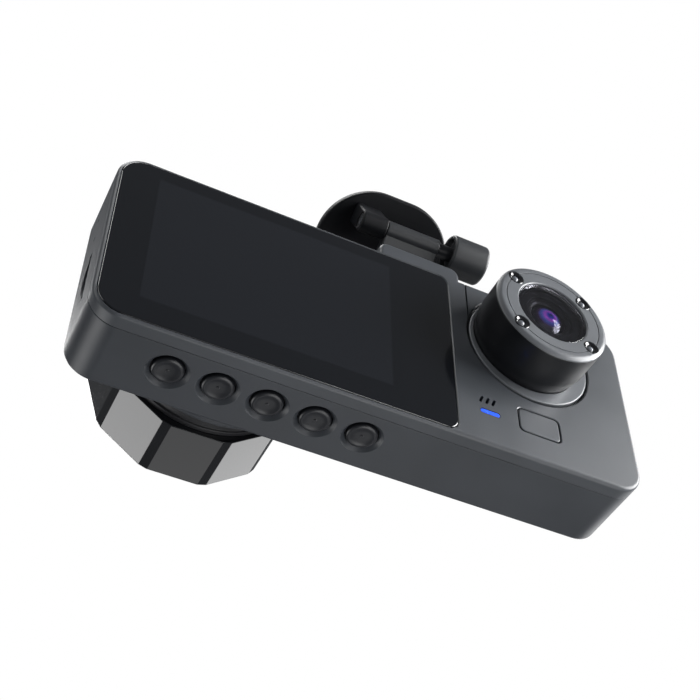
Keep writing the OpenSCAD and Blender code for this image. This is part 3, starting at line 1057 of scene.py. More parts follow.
@dataclass
class Casing:
    """The two shells of the body, the screen glass and the status light."""

    bench: Bench
    finishes: Finishes
    corner: float = 5.7
    wall: float = 1.6
    edge: float = 0.75
    half_height: float = 21.5
    block_half: float = 8.9
    block_corner: float = 2.0
    block_foot: float = 4.0
    plinth_radius: float = 20.0
    lens_hole_radius: float = 14.2
    plinth_height: float = 2.4
    tongue_depth: float = 9.0
    slot_half_width: float = 7.6
    key_lip: float = 0.8
    key_hole_radius: float = 3.15
    boss_radius: float = 2.3
    pilot_radius: float = 0.82
    pin_radius: float = 0.4
    pin_heights: tuple[float, float] = (11.6, 6.2)
    sound_slots: int = 5
    sound_pitch: float = 2.2
    sound_middle: float = -11.0
    swivel_hole_radius: float = 12.25
    swivel_seat_radius: float = 13.7
    swivel_seat_depth: float = 1.2
    window_low: tuple[float, float] = (-6.2, -19.2)
    window_high: tuple[float, float] = (48.2, 19.2)
    joint_line: tuple[float, float] = (-18.82, -18.45)
    joint_line_depth: float = 0.45
    glass_corner: float = 5.0
    glass_inner_corner: float = 2.2
    glass_depth: float = 1.1
    screw_x: tuple[float, float] = (49.4, -10.6)
    screw_z: float = 17.0

    def __post_init__(self) -> None:
        """Reads the body's place from the frame."""
        housing_low, housing_high = self.bench.box("front_housing")
        self.half_width = (housing_high.x - housing_low.x) / 2
        self.block_top = housing_high.z
        self.rear = self.bench.box("rear_cover")[1].y
        self.seam = housing_high.y
        self.front = -self.rear
        plate_low, plate_high = self.bench.box("windscreen_plate")
        self.block_x = (plate_low.x + plate_high.x) / 2

    def slab(self, name: str, start: float, end: float, inset: float = 0.0) -> Piece:
        """The body's outline between two depths, made smaller by inset all round.

        Args:
            name: The new object's name.
            start: Where it starts along Y.
            end: Where it ends.
            inset: How much smaller it is all round.

        Returns:
            The new object.
        """
        return self.bench.rounded_block(
            name, (-self.half_width + inset, start, -self.half_height + inset),
            (self.half_width - inset, end, self.half_height - inset), Axis.Y, self.corner - inset, 14)

    def bracket_block(self, name: str, start: float, end: float) -> Piece:
        """The block on the top edge that takes the bracket's tongue.

        Args:
            name: The new object's name.
            start: Where it starts along Y.
            end: Where it ends.

        Returns:
            The new object.
        """
        piece = self.bench.block(
            name, (self.block_x - self.block_half, start, self.half_height - self.block_foot),
            (self.block_x + self.block_half, end, self.block_top))
        return self.bench.soften(
            piece, lambda a, b: abs(a.y - b.y) > 1 and a.z > self.half_height, self.block_corner, 8)

    def front_shell(self) -> Piece:
        """The front housing, with every opening in it.

        Returns:
            The finished piece.
        """
        bench = self.bench
        shell = self.slab("front_shell", self.front, self.seam)
        block = self.bracket_block("block", self.front, self.seam)
        for piece in (shell, block):
            bench.soften_rim(piece, Axis.Y, self.front, self.edge, 5)
            bench.soften_rim(piece, Axis.Y, self.seam, 0.12, 2)
        lens_low, lens_high = bench.box("lens_barrel")
        lens_x = (lens_low.x + lens_high.x) / 2
        plinth = bench.rod("plinth", (lens_x, self.front - self.plinth_height, 0), Axis.Y,
                           self.plinth_radius, self.plinth_height + 1, 128)
        bench.soften_rim(plinth, Axis.Y, self.front - self.plinth_height, 0.5, 4)
        bench.combine(shell, Cut.ADD, block, plinth)
        hollow = self.slab("hollow", self.front + self.wall, self.seam + 1, self.wall)
        bench.combine(shell, Cut.TAKE, hollow)
        bosses = [bench.rod("boss", (x, self.front + 1, z), Axis.Y, self.boss_radius,
                            self.seam - self.front - 1.05, 32)
                  for x in self.screw_x for z in (-self.screw_z, self.screw_z)]
        pocket = bench.block(
            "pocket", (self.block_x - self.block_half, self.front + 1, self.half_height - self.wall - 3),
            (self.block_x + self.block_half, self.front + self.tongue_depth + 1.2, self.half_height - 0.5))
        bench.combine(shell, Cut.ADD, bench.join(*bosses), pocket)
        bench.combine(shell, Cut.TAKE, bench.join(*self.front_openings(lens_x)))
        bench.combine(shell, Cut.TAKE, self.card_notch())
        return bench.dress(shell, self.finishes.shell, "camera", "shell_plastic", ["front_housing"])

    def front_openings(self, lens_x: float) -> list[Piece]:
        """Cutting tools for the lens, tongue, keys, sockets, holes and screws.

        Args:
            lens_x: Place of the road lens' axis along X.

        Returns:
            The tools.
        """
        bench = self.bench
        low, high = bench.box("usb_socket")
        usb_x = (low.x + high.x) / 2
        low, high = bench.box("rear_camera_jack")
        jack_x = (low.x + high.x) / 2
        port_y = (low.y + high.y) / 2
        top = self.half_height
        lip = 0.2
        tools = [bench.rod("lens_hole", (lens_x, self.front - 4, 0), Axis.Y, self.lens_hole_radius, 7, 96)]
        slot = bench.rounded_block(
            "tongue_slot", (self.block_x - self.slot_half_width, self.front + lip, top - 2.0),
            (self.block_x + self.slot_half_width, self.front + self.tongue_depth, top + 1.8), Axis.Y, 1.88, 8)
        tools.append(bench.flare(slot, Axis.Y, self.front + lip, lip, -1))
        for x in self.screw_x:
            for z in (-self.screw_z, self.screw_z):
                tools.append(bench.rod(
                    "screw_hole", (x, self.front + 3, z), Axis.Y, self.pilot_radius, 12, 24))
        for number in range(1, KEY_COUNT + 1):
            low, high = bench.box(f"key_{number}")
            hole = bench.rod("key_hole", ((low.x + high.x) / 2, (low.y + high.y) / 2, -top + self.key_lip),
                             Axis.Z, self.key_hole_radius, self.wall + 1, 64)
            tools.append(bench.flare(hole, Axis.Z, -top + self.key_lip, self.key_lip, -1))
        usb = bench.rounded_block("usb_hole", (usb_x - 4.8, port_y - 1.95, top - 3),
                                  (usb_x + 4.8, port_y + 1.95, top - lip), Axis.Z, 1.93, 10)
        tools.append(bench.flare(usb, Axis.Z, top - lip, lip))
        jack = bench.rod("jack_hole", (jack_x, port_y, top - 3), Axis.Z, 1.9, 3 - lip, 48)
        tools.append(bench.flare(jack, Axis.Z, top - lip, lip))
        for z in self.pin_heights:
            pin = bench.rod("pin_hole", (self.half_width - 3, -1.2, z), Axis.X, self.pin_radius, 2.9, 20)
            tools.append(bench.flare(pin, Axis.X, self.half_width - 0.1, 0.1))
        for number in range(self.sound_slots):
            z = self.sound_middle + self.sound_pitch * (number - (self.sound_slots - 1) / 2)
            tools.append(bench.rounded_block(
                "sound_slot", (-self.half_width - 1, -3.5, z - 0.45), (-self.half_width + 3, 1.5, z + 0.45),
                Axis.X, 0.44, 4))
        return tools

    def card_notch(self) -> Piece:
        """Cutting tool for the card slot and its crescent finger notch.

        Returns:
            The tool.
        """
        y, z, half = -0.65, -5.05, 6.05
        gap, radius, offset, steps = 0.67, 6.2, 3.65, 14
        outline = [(y + gap, z - half), (y + gap, z + half), (y - gap, z + half)]
        reach = math.degrees(math.acos((offset + gap) / radius))
        for step in range(steps + 1):
            angle = math.radians(180 - reach + 2 * reach * step / steps)
            outline.append((y + offset + radius * math.cos(angle), z + radius * math.sin(angle)))
        outline.append((y - gap, z - half))
        return self.bench.prism("card_hole", Axis.X, self.half_width - 3, self.half_width + 1, outline)

    def pane(self, name: str, start: float, end: float, grow: float = 0.0) -> Piece:
        """The screen glass' outline between two depths, grown all round.

        Args:
            name: The new object's name.
            start: Where it starts along Y.
            end: Where it ends.
            grow: How much larger it is all round.

        Returns:
            The new object.
        """
        low, high = self.bench.box("screen_glass")
        piece = self.bench.block(
            name, (low.x - grow, start, low.z - grow), (high.x + grow, end, high.z + grow))
        middle = (low.x + high.x) / 2
        self.bench.soften(piece, lambda a, b: abs(a.y - b.y) > 0.01 and a.x > middle,
                          self.glass_corner + grow, 12)
        return self.bench.soften(
            piece, lambda a, b: abs(a.y - b.y) > 0.01 and a.x < low.x + 0.01 and abs(a.z) > 19,
            self.glass_inner_corner + grow, 8)

    def rear_shell(self) -> Piece:
        """The rear cover, with the screen recess, swivel hole and small openings.

        Returns:
            The finished piece.
        """
        bench = self.bench
        start = self.seam + 0.05
        shell = self.slab("rear_shell", start, self.rear)
        block = self.bracket_block("block", start, self.rear)
        for piece in (shell, block):
            bench.soften_rim(piece, Axis.Y, self.rear, self.edge, 5)
            bench.soften_rim(piece, Axis.Y, start, 0.12, 2)
        bench.combine(shell, Cut.ADD, block)
        bench.combine(shell, Cut.TAKE, self.slab("hollow", start - 1, self.rear - self.wall, self.wall))
        lip = 0.22
        recess = self.pane("recess", self.rear - self.glass_depth - 0.05, self.rear - lip, 0.08)
        bench.combine(shell, Cut.TAKE, bench.flare(recess, Axis.Y, self.rear - lip, lip))
        tools = [bench.block("display_window", (self.window_low[0], start - 1, self.window_low[1]),
                             (self.window_high[0], self.rear - 0.5, self.window_high[1]))]
        low, high = bench.box("swivel_ring")
        ring = Vector(((low.x + high.x) / 2, 0, (low.z + high.z) / 2))
        tools.append(bench.rod(
            "swivel_hole", (ring.x, start - 1, ring.z), Axis.Y, self.swivel_hole_radius, 3, 128))
        seat = bench.rod("swivel_seat", (ring.x, self.rear - self.swivel_seat_depth, ring.z), Axis.Y,
                         self.swivel_seat_radius, self.swivel_seat_depth - lip, 128)
        seat = bench.flare(seat, Axis.Y, self.rear - lip, lip)
        low, high = bench.box("power_switch")
        power = Vector(((low.x + high.x) / 2, 0, (low.z + high.z) / 2))
        hole = bench.rounded_block("power_hole", (power.x - 4.55, start - 1, power.z - 3.05),
                                   (power.x + 4.55, self.rear - 0.15, power.z + 3.05), Axis.Y, 1.2, 6)
        tools.append(bench.flare(hole, Axis.Y, self.rear - 0.15, 0.15))
        tools += self.small_openings()
        bench.combine(shell, Cut.TAKE, seat, bench.join(*tools))
        groove = bench.block(
            "joint_line", (self.joint_line[0], self.rear - self.joint_line_depth, ring.z + 4),
            (self.joint_line[1], self.rear + 1, self.half_height + 1))
        bench.combine(shell, Cut.TAKE, groove)
        # The cover's lighter graphite is painted light.
        return bench.dress(shell, self.finishes.cover, "camera", "cover_plastic", ["rear_cover"])

    def small_openings(self) -> list[Piece]:
        """Cutting tools for the status light and the three slanted sound slots.

        Returns:
            The tools.
        """
        bench = self.bench
        low, high = bench.box("status_light")
        x, z = (low.x + high.x) / 2, (low.z + high.z) / 2
        light = bench.rounded_block("light_slot", (x - 2.15, self.seam, z - 0.6),
                                    (x + 2.15, self.rear + 1, z + 0.6), Axis.Y, 0.58, 6)
        slot = bench.rounded_block("voice_slot", (x + 0.4 - 0.28, self.seam, z + 2.8 - 0.9),
                                   (x + 0.4 + 0.28, self.rear + 1, z + 2.8 + 0.9), Axis.Y, 0.27, 4)
        about = Matrix.Translation((x + 0.4, 0, z + 2.8))
        lean = about @ Matrix.Rotation(math.radians(-22), 4, "Y") @ about.inverted()
        moves = [Matrix.Translation((1.3 * step, 0, 0)) @ lean for step in (-1, 0, 1)]
        return [light, bench.copies(slot, moves)]

    def glass(self) -> Piece:
        """The screen glass with ground edges.

        Returns:
            The finished piece.
        """
        pane = self.pane("screen_pane", self.rear - self.glass_depth, self.rear)
        self.bench.soften_rim(pane, Axis.Y, self.rear, 0.25, 3)
        return self.bench.dress(pane, self.finishes.screen, "camera", "screen_glass", ["screen_glass"])

    def light(self) -> Piece:
        """The light guide of the blue status light, with its foot.

        Returns:
            The finished piece.
        """
        bench = self.bench
        low, high = bench.box("status_light")
        x, z = (low.x + high.x) / 2, (low.z + high.z) / 2
        guide = bench.rounded_block("light_guide", (x - 2.0, self.rear - 1.7, z - 0.45),
                                    (x + 2.0, high.y, z + 0.45), Axis.Y, 0.44, 5)
        bench.soften_rim(guide, Axis.Y, high.y, 0.1, 2)
        foot = bench.rounded_block(
            "light_foot", (low.x, low.y, low.z), (high.x, self.rear - self.wall, high.z), Axis.Y, 0.9, 4)
        bench.combine(guide, Cut.ADD, foot)
        return bench.dress(guide, self.finishes.blue, "camera", "blue_light", ["status_light"])

    def build(self) -> None:
        """Builds every piece of the casing."""
        self.front_shell()
        self.rear_shell()
        self.glass()
        self.light()


@dataclass
class RoadLens:
    """The faceted barrel at the front with its trim, painted glint bars and glass."""

    bench: Bench
    finishes: Finishes
    flat: float = 18.424
    facets: int = 10
    strip: float = 0.95
    facet_length: float = 13.1
    bezel: float = 17.65
    neck: float = 17.6
    plinth_height: float = 2.4
    glint_angles: tuple[float, float] = (74.0, 254.0)
    groove_groups: tuple[tuple[float, float], ...] = (
        (65.0, 30.0), (-28.0, -72.0), (245.0, 210.0), (152.0, 108.0))
    groove_radii: tuple[float, ...] = (14.3, 14.95, 15.6, 16.25)

    def __post_init__(self) -> None:
        """Reads the lens' axis and rim from the frame."""
        low, high = self.bench.box("lens_barrel")
        self.axis = Vector(((low.x + high.x) / 2, low.y, (low.z + high.z) / 2))
        self.plinth = self.bench.box("lens_neck")[1].y
        self.neck_end = -self.bench.box("rear_cover")[1].y - self.plinth_height - 0.02

    def barrel(self) -> Piece:
        """The glossy ten-sided barrel, with a narrow strip between neighbouring flats.

        Returns:
            The finished piece.
        """
        bench = self.bench
        corner = self.flat / math.cos(math.pi / self.facets)
        barrel = bench.rod("road_barrel", self.axis, Axis.Y, corner, self.facet_length, self.facets, 18)
        rim, back = self.axis.y, self.axis.y + self.facet_length
        bench.soften(barrel, lambda a, b: abs(a.y - b.y) > 1, self.strip, 1)
        bench.soften(barrel, lambda a, b: abs(a.y - b.y) > 1, 0.14, 2)
        bench.soften_rim(barrel, Axis.Y, rim, 0.4, 4)
        bench.soften_rim(barrel, Axis.Y, back, 0.25, 3)
        lip = 0.15
        mouth = bench.rod("mouth", self.axis + Vector((0, lip, 0)), Axis.Y, self.bezel, 2.4 - lip, 128)
        bench.flare(mouth, Axis.Y, rim + lip, lip, -1)
        bore = bench.rod("bore", self.axis + Vector((0, 2, 0)), Axis.Y, 16.4, self.facet_length, 128)
        bench.combine(barrel, Cut.TAKE, mouth, bore)
        return bench.dress(barrel, self.finishes.gloss, "camera", "lens_gloss", ["lens_barrel"], 24)

    def neck_tube(self) -> Piece:
        """The matte neck between the barrel and the plinth, with two shadow grooves.

        Returns:
            The finished piece.
        """
        start, end = self.facet_length + 0.02, self.neck_end - self.axis.y
        spigot = self.plinth - self.axis.y
        profile = curve((12, start, 0), (self.neck, start, 0.2), (self.neck, start + 1.0, 0.1),
                        (self.neck - 0.4, start + 1.15, 0.1), (self.neck - 0.4, start + 1.55, 0.1),
                        (self.neck, start + 1.7, 0.1), (self.neck, end - 0.7, 0.3),
                        (self.neck + 0.6, end, 0), (13.9, end, 0), (13.9, spigot, 0.2),
                        (12, spigot, 0), (12, start, 0))
        piece = self.bench.turned("road_neck", self.axis, Axis.Y, profile, 128)
        return self.bench.dress(piece, self.finishes.black, "camera", "black_plastic", ["lens_neck"])

    def arc_tool(self, radius: float, start: float, end: float, face: float) -> Piece:
        """Cutting tool for one fine arc groove.

        Args:
            radius: Radius of the groove.
            start: Angle in degrees where it starts, from +X towards +Z.
            end: Angle where it ends, below start.
            face: Distance of the disc's face from the rim.

        Returns:
            The tool.
        """
        bench = self.bench
        bpy.ops.object.select_all(action="DESELECT")
        angle = math.radians(start)
        out = Vector((math.cos(angle), 0, math.sin(angle)))
        centre = bench.metres(self.axis + out * radius + Vector((0, face, 0)))
        lie = Matrix((out, Vector((0, 1, 0)), out.cross(Vector((0, 1, 0))))).transposed()
        tilt = Matrix.Rotation(math.radians(45), 3, "Z")
        bpy.ops.mesh.primitive_plane_add(size=0.30 * MM, location=centre, rotation=(lie @ tilt).to_euler())
        tool = bench.named("arc_tool")
        bpy.ops.object.mode_set(mode="EDIT")
        bpy.ops.mesh.select_all(action="SELECT")
        bpy.ops.mesh.spin(steps=max(6, round((start - end) / 2.5)), angle=math.radians(start - end),
                          center=bench.metres(self.axis), axis=(0, 1, 0))
        bpy.ops.mesh.select_all(action="SELECT")
        bpy.ops.mesh.normals_make_consistent(inside=False)
        bpy.ops.object.mode_set(mode="OBJECT")
        return tool

    def trim_disc(self) -> Piece:
        """The satin disc with its shallow dish and four groups of arc grooves.

        Returns:
            The finished piece.
        """
        face = 0.25
        profile = curve((8.6, 2.3, 0), (8.6, face + 0.35, 0.08), (9.4, face + 0.35, 0.3),
                        (10.4, face + 0.25, 0.5), (13.2, face, 0.6), (16.95, face, 0.05),
                        (17.02, face + 0.22, 0), (17.14, face + 0.22, 0), (17.21, face, 0.05),
                        (17.5, face, 0.1), (17.5, 2.3, 0), (8.6, 2.3, 0))
        disc = self.bench.turned("road_trim_disc", self.axis, Axis.Y, profile, 144)
        tools = []
        for start, end in self.groove_groups:
            way = 1 if start > 0 else -1
            for number, radius in enumerate(self.groove_radii):
                shorter = 2.2 * number
                tools.append(self.arc_tool(radius, start, end + shorter, face) if way > 0
                             else self.arc_tool(radius, start - shorter, end, face))
        self.bench.combine(disc, Cut.TAKE, self.bench.join(*tools))
        return self.bench.dress(disc, self.finishes.trim, "camera", "trim_plastic", ["lens_trim_disc"])

    def marks(self) -> Piece:
        """Two patches of four short silver bars at the start of two groove groups: painted highlights where
        the grooves catch the light.

        Returns:
            The finished piece.
        """
        bench = self.bench
        face = self.axis.y + 0.25
        bar = bench.rounded_block(
            "road_glint_bars", (self.axis.x - 2.0, face - 0.03, self.axis.z - 0.17),
            (self.axis.x + 2.0, face + 0.05, self.axis.z + 0.17), Axis.Y, 0.12, 3)
        bench.soften_rim(bar, Axis.Y, face - 0.03, 0.02, 1)
        about = Matrix.Translation(self.axis)
        moves = []
        for angle in self.glint_angles:
            for number in range(4):
                lift = Matrix.Translation((0.15 * number, 0, 14.1 + 0.78 * number))
                spin = Matrix.Rotation(math.radians(90 - angle), 4, "Y")
                moves.append(about @ spin @ lift @ about.inverted())
        marks = bench.copies(bar, moves)
        return bench.dress(marks, self.finishes.silver_glint_paint, "camera", "steel")

    def retainer(self) -> Piece:
        """The threaded ring that holds the front glass, with a coned mouth.

        Returns:
            The finished piece.
        """
        profile = curve((6.05, 6, 0), (6.05, 1.35, 0), (6.2, 1.3, 0), (6.55, 1.0, 0.1), (6.75, 0.85, 0.1),
                        (6.95, 0.42, 0.12), (8.3, 0.42, 0.1), (8.45, 0.6, 0), (8.45, 6, 0), (6.05, 6, 0))
        piece = self.bench.turned("road_retainer", self.axis, Axis.Y, profile)
        return self.bench.dress(piece, self.finishes.trim, "camera", "trim_plastic", ["lens_retainer"])

    def front_glass(self) -> Piece:
        """The domed front element.

        Returns:
            The finished piece.
        """
        edge, thick = 5.9, 3.35
        dome = 12.0
        reach = math.degrees(math.asin(edge / dome))
        top = [(radius, along) for radius, along in arc(dome, 1.2 + dome, -90, -90 + reach, 12)]
        profile = top + [(edge, thick), (0, thick)]
        piece = self.bench.turned("road_front_glass", self.axis, Axis.Y, profile)
        return self.bench.dress(piece, self.finishes.road_glass, "camera", "lens_glass", ["lens_front_glass"])

    def inner_elements(self) -> None:
        """The baffle and the coated element seen through the front glass, whose lighter rings are painted
        highlights.
        """
        profile = curve((4.15, 5.9, 0), (4.15, 3.6, 0), (3.6, 3.55, 0.1), (3.2, 4.3, 0.1), (2.5, 4.5, 0.1),
                        (2.3, 5.3, 0), (2.3, 5.9, 0), (4.15, 5.9, 0))
        baffle = self.bench.turned("road_baffle", self.axis, Axis.Y, profile)
        self.bench.dress(baffle, self.finishes.black, "camera", "black_plastic")
        dome = 3.2
        reach = math.degrees(math.asin(2.25 / dome))
        profile = arc(dome, 4.45 + dome, -90, -90 + reach, 10) + [(2.25, 5.9), (0, 5.9)]
        element = self.bench.turned("road_inner_element", self.axis, Axis.Y, profile, 64)
        self.bench.dress(element, self.finishes.road_painted_highlights, "camera", "lens_glass")

    def build(self) -> None:
        """Builds every piece of the road lens."""
        self.barrel()
        self.neck_tube()
        self.trim_disc()
        self.marks()
        self.retainer()
        self.front_glass()
        self.inner_elements()


@dataclass
class CabinCamera:
    """The swivel ring and the tilting cabin lens head with its four infrared lamps."""

    bench: Bench
    finishes: Finishes
    ring_radius: float = 13.2
    tail_radius: float = 12.15
    socket_gap: float = 0.15
    ball_foot: float = 6.3
    radius: float = 12.1
    window_radius: float = 7.5
    lamp_radius: float = 9.9
    pocket_radius: float = 1.7
    bore_radius: float = 1.15
    lamp_angles: tuple[float, ...] = (40.0, 140.0, 220.0, 320.0)

    def __post_init__(self) -> None:
        """Reads the head's and the ring's places from the frame."""
        low, high = self.bench.box("cabin_head")
        self.head = Vector(((low.x + high.x) / 2, low.y + self.ball_foot, (low.z + high.z) / 2))
        self.face = self.bench.box("cabin_face_ring")[1].y
        low, high = self.bench.box("swivel_ring")
        self.ring = Vector(((low.x + high.x) / 2, high.y - 0.1, (low.z + high.z) / 2))

    def swivel_ring(self) -> Piece:
        """The ring that turns in the rear cover, with a ball socket for the head.

        Returns:
            The finished piece.
        """
        tail = self.tail_radius
        profile = curve((0, -2.85, 0), (tail, -2.85, 0.1), (tail, -2.6, 0), (tail - 0.3, -2.6, 0),
                        (tail - 0.3, -1.8, 0), (tail, -1.8, 0), (tail, -1.15, 0),
                        (self.ring_radius, -1.15, 0.1), (self.ring_radius, 0.1, 0.3), (0, 0.1, 0))
        ring = self.bench.turned("swivel_base", self.ring, Axis.Y, profile, 128)
        bpy.ops.object.select_all(action="DESELECT")
        bpy.ops.mesh.primitive_uv_sphere_add(
            segments=96, ring_count=64, radius=(self.radius + self.socket_gap) * MM,
            location=self.bench.metres(self.head))
        ball = self.bench.named("ball")
        self.bench.combine(ring, Cut.TAKE, ball)
        return self.bench.dress(ring, self.finishes.face, "swivel", "trim_plastic", ["swivel_ring"])

    def cup(self) -> Piece:
        """The head's cup, whose lower end is part of a ball.

        Returns:
            The finished piece.
        """
        top = self.face - self.head.y - 0.8
        low_angle = -math.degrees(math.asin(self.ball_foot / self.radius))
        ball = arc(self.radius, 0, low_angle, 0, 12)
        inner = curve((self.radius, 0, 0), (self.radius, top, 0.12), (11.2, top, 0), (11.2, 3.6, 0),
                      (9.4, 3.6, 0), (9.4, -4, 0), (2, -4, 0), (2, -self.ball_foot, 0))
        profile = ball + inner[1:] + [ball[0]]
        cup = self.bench.turned("cabin_cup", self.head, Axis.Y, profile, 128)
        return self.bench.dress(cup, self.finishes.head, "cabin_camera", "black_plastic", ["cabin_head"])

    def lamp_places(self) -> list[Vector]:
        """Middle of each lamp, at the head's face.

        Returns:
            The four places.
        """
        return [Vector((self.head.x + self.lamp_radius * math.cos(math.radians(angle)), self.face,
                        self.head.z + self.lamp_radius * math.sin(math.radians(angle))))
                for angle in self.lamp_angles]

    def face_ring(self) -> Piece:
        """The grey face ring, with a rounded rim, a fine circle and four lamp pockets.

        Returns:
            The finished piece.
        """
        foot = Vector((self.head.x, self.face, self.head.z))
        profile = curve((7.6, -2, 0), (7.6, -0.15, 0.1), (7.8, 0, 0.08), (10.1, 0, 0.02), (10.14, -0.18, 0),
                        (10.26, -0.18, 0), (10.3, 0, 0.02), (11.4, 0, 0.3), (self.radius, -0.55, 0.15),
                        (self.radius, -0.75, 0), (11.1, -0.75, 0), (11.1, -2, 0), (7.6, -2, 0))
        ring = self.bench.turned("cabin_face", foot, Axis.Y, profile, 128)
        holes = []
        for place in self.lamp_places():
            holes.append(self.bench.rod(
                "pocket", (place.x, place.y - 0.6, place.z), Axis.Y, self.pocket_radius, 1.2, 40))
        self.bench.combine(ring, Cut.TAKE, self.bench.join(*holes))
        holes = []
        for place in self.lamp_places():
            holes.append(self.bench.rod(
                "bore", (place.x, place.y - 3, place.z), Axis.Y, self.bore_radius, 3, 32))
        self.bench.combine(ring, Cut.TAKE, self.bench.join(*holes))
        return self.bench.dress(ring, self.finishes.face, "cabin_camera", "trim_plastic", ["cabin_face_ring"])

    def lamps(self) -> None:
        """The four infrared lamps, whose domes carry a painted glow, and the black cups round them."""
        bench = self.bench
        first = self.lamp_places()[0]
        moves = [Matrix.Translation(place - first) for place in self.lamp_places()]
        profile = curve((1.1, -0.58, 0), (0.85, -0.25, 0.05), (1.25, -0.08, 0.08), (1.5, -0.02, 0.1),
                        (1.66, -0.1, 0), (1.66, -0.58, 0), (1.1, -0.58, 0))
        cups = bench.copies(bench.turned("lamp_cups", first, Axis.Y, profile, 40), moves)
        bench.dress(cups, self.finishes.gloss, "cabin_camera", "black_plastic")
        dome, crown = 0.8, -0.85
        profile = [(0, -2.9), (0.95, -2.9), (0.95, -1.5), (dome, -1.5), (dome, crown)]
        profile += arc(dome, crown, 0, 90, 6)[1:]
        domes = bench.copies(bench.turned("lamp_domes", first, Axis.Y, profile, 32), moves)
        bench.dress(domes, self.finishes.lamp, "cabin_camera", "lamp_epoxy", ["infrared_lamps"])

    def optics(self) -> None:
        """The window, the stepped black cone and the coated lens behind it, whose coloured rings are a
        painted reflection with a painted glow.
        """
        bench = self.bench
        foot = Vector((self.head.x, self.face, self.head.z))
        profile = curve((0, -1.5, 0), (self.window_radius, -1.5, 0.1), (self.window_radius, -0.3, 0.15),
                        (0, -0.3, 0))
        window = bench.turned("cabin_window", foot, Axis.Y, profile)
        bench.dress(window, self.finishes.window, "cabin_camera", "lens_glass", ["cabin_glass"])
        profile = curve((7.45, -1.55, 0), (7.45, -5.2, 0), (4.7, -5.2, 0), (4.7, -3.1, 0), (3.75, -3.1, 0.1),
                        (3.75, -2.6, 0.1), (4.3, -2.35, 0.1), (4.9, -2.3, 0), (5.0, -1.9, 0.1),
                        (6.6, -1.9, 0), (6.7, -1.55, 0), (7.45, -1.55, 0))
        cone = bench.turned("cabin_cone", foot, Axis.Y, profile)
        bench.dress(cone, self.finishes.black, "cabin_camera", "black_plastic")
        dome, opening = 5.2, 3.7
        reach = math.degrees(math.asin(opening / dome))
        profile = [(0, -6.6), (4.6, -6.6), (4.6, -3.2), (opening, -3.2)]
        profile += arc(dome, -1.65 - dome, 90 - reach, 90, 12)
        lens = bench.turned("cabin_coated_lens", foot, Axis.Y, profile)
        bench.dress(lens, self.finishes.cabin_painted_reflection, "cabin_camera", "lens_glass", ["cabin_lens"])

    def build(self) -> None:
        """Builds every piece of the cabin camera."""
        self.swivel_ring()
        self.cup()
        self.face_ring()
        self.lamps()
        self.optics()


@dataclass
class Controls:
    """The five round keys under the body and the power key on the back."""

    bench: Bench
    finishes: Finishes
    key_radius: float = 2.9

    def round_key(self, number: int) -> Piece:
        """One round key with a dished face, a retaining flange and a stem.

        Args:
            number: The key's number, counted as in the frame.

        Returns:
            The finished piece.
        """
        low, high = self.bench.box(f"key_{number}")
        foot = Vector(((low.x + high.x) / 2, (low.y + high.y) / 2, low.z))
        dish = [(0.0, 0.14), (0.28, 0.15), (0.36, 0.28), (1.2, 0.26), (1.9, 0.16)]
        body = curve((1.9, 0.16, 0), (2.35, 0.0, 0.25), (self.key_radius, 0.25, 0.3),
                     (self.key_radius, 1.7, 0), (3.6, 1.7, 0.1), (3.6, 2.3, 0.1), (0.8, 2.3, 0),
                     (0.8, 2.7, 0.1), (0, 2.7, 0))
        key = self.bench.turned(f"round_key_{number}", foot, Axis.Z, dish + body[1:], 64)
        return self.bench.dress(key, self.finishes.key, f"key_{number}", "key_plastic", [f"key_{number}"])

    def power_key(self) -> Piece:
        """The rectangular power key, flush with the rear face.

        Returns:
            The finished piece.
        """
        bench = self.bench
        low, high = bench.box("power_key")
        x, z = (low.x + high.x) / 2, (low.z + high.z) / 2
        half_width, half_height, depth = 4.3, 2.8, 1.95
        key = bench.rounded_block("power_button", (x - half_width, high.y - depth, z - half_height),
                                  (x + half_width, high.y, z + half_height), Axis.Y, 1.0, 6)
        bench.soften_rim(key, Axis.Y, high.y, 0.25, 4)
        flange = bench.rounded_block("flange", (low.x, low.y, low.z), (high.x, high.y - 1.85, high.z),
                                     Axis.Y, 1.4, 5)
        bench.combine(key, Cut.ADD, flange)
        # The cover's lighter graphite is painted light.
        return bench.dress(key, self.finishes.cover, "power_key", "cover_plastic", ["power_key"])

    def build(self) -> None:
        """Builds every key."""
        for number in range(1, KEY_COUNT + 1):
            self.round_key(number)
        self.power_key()


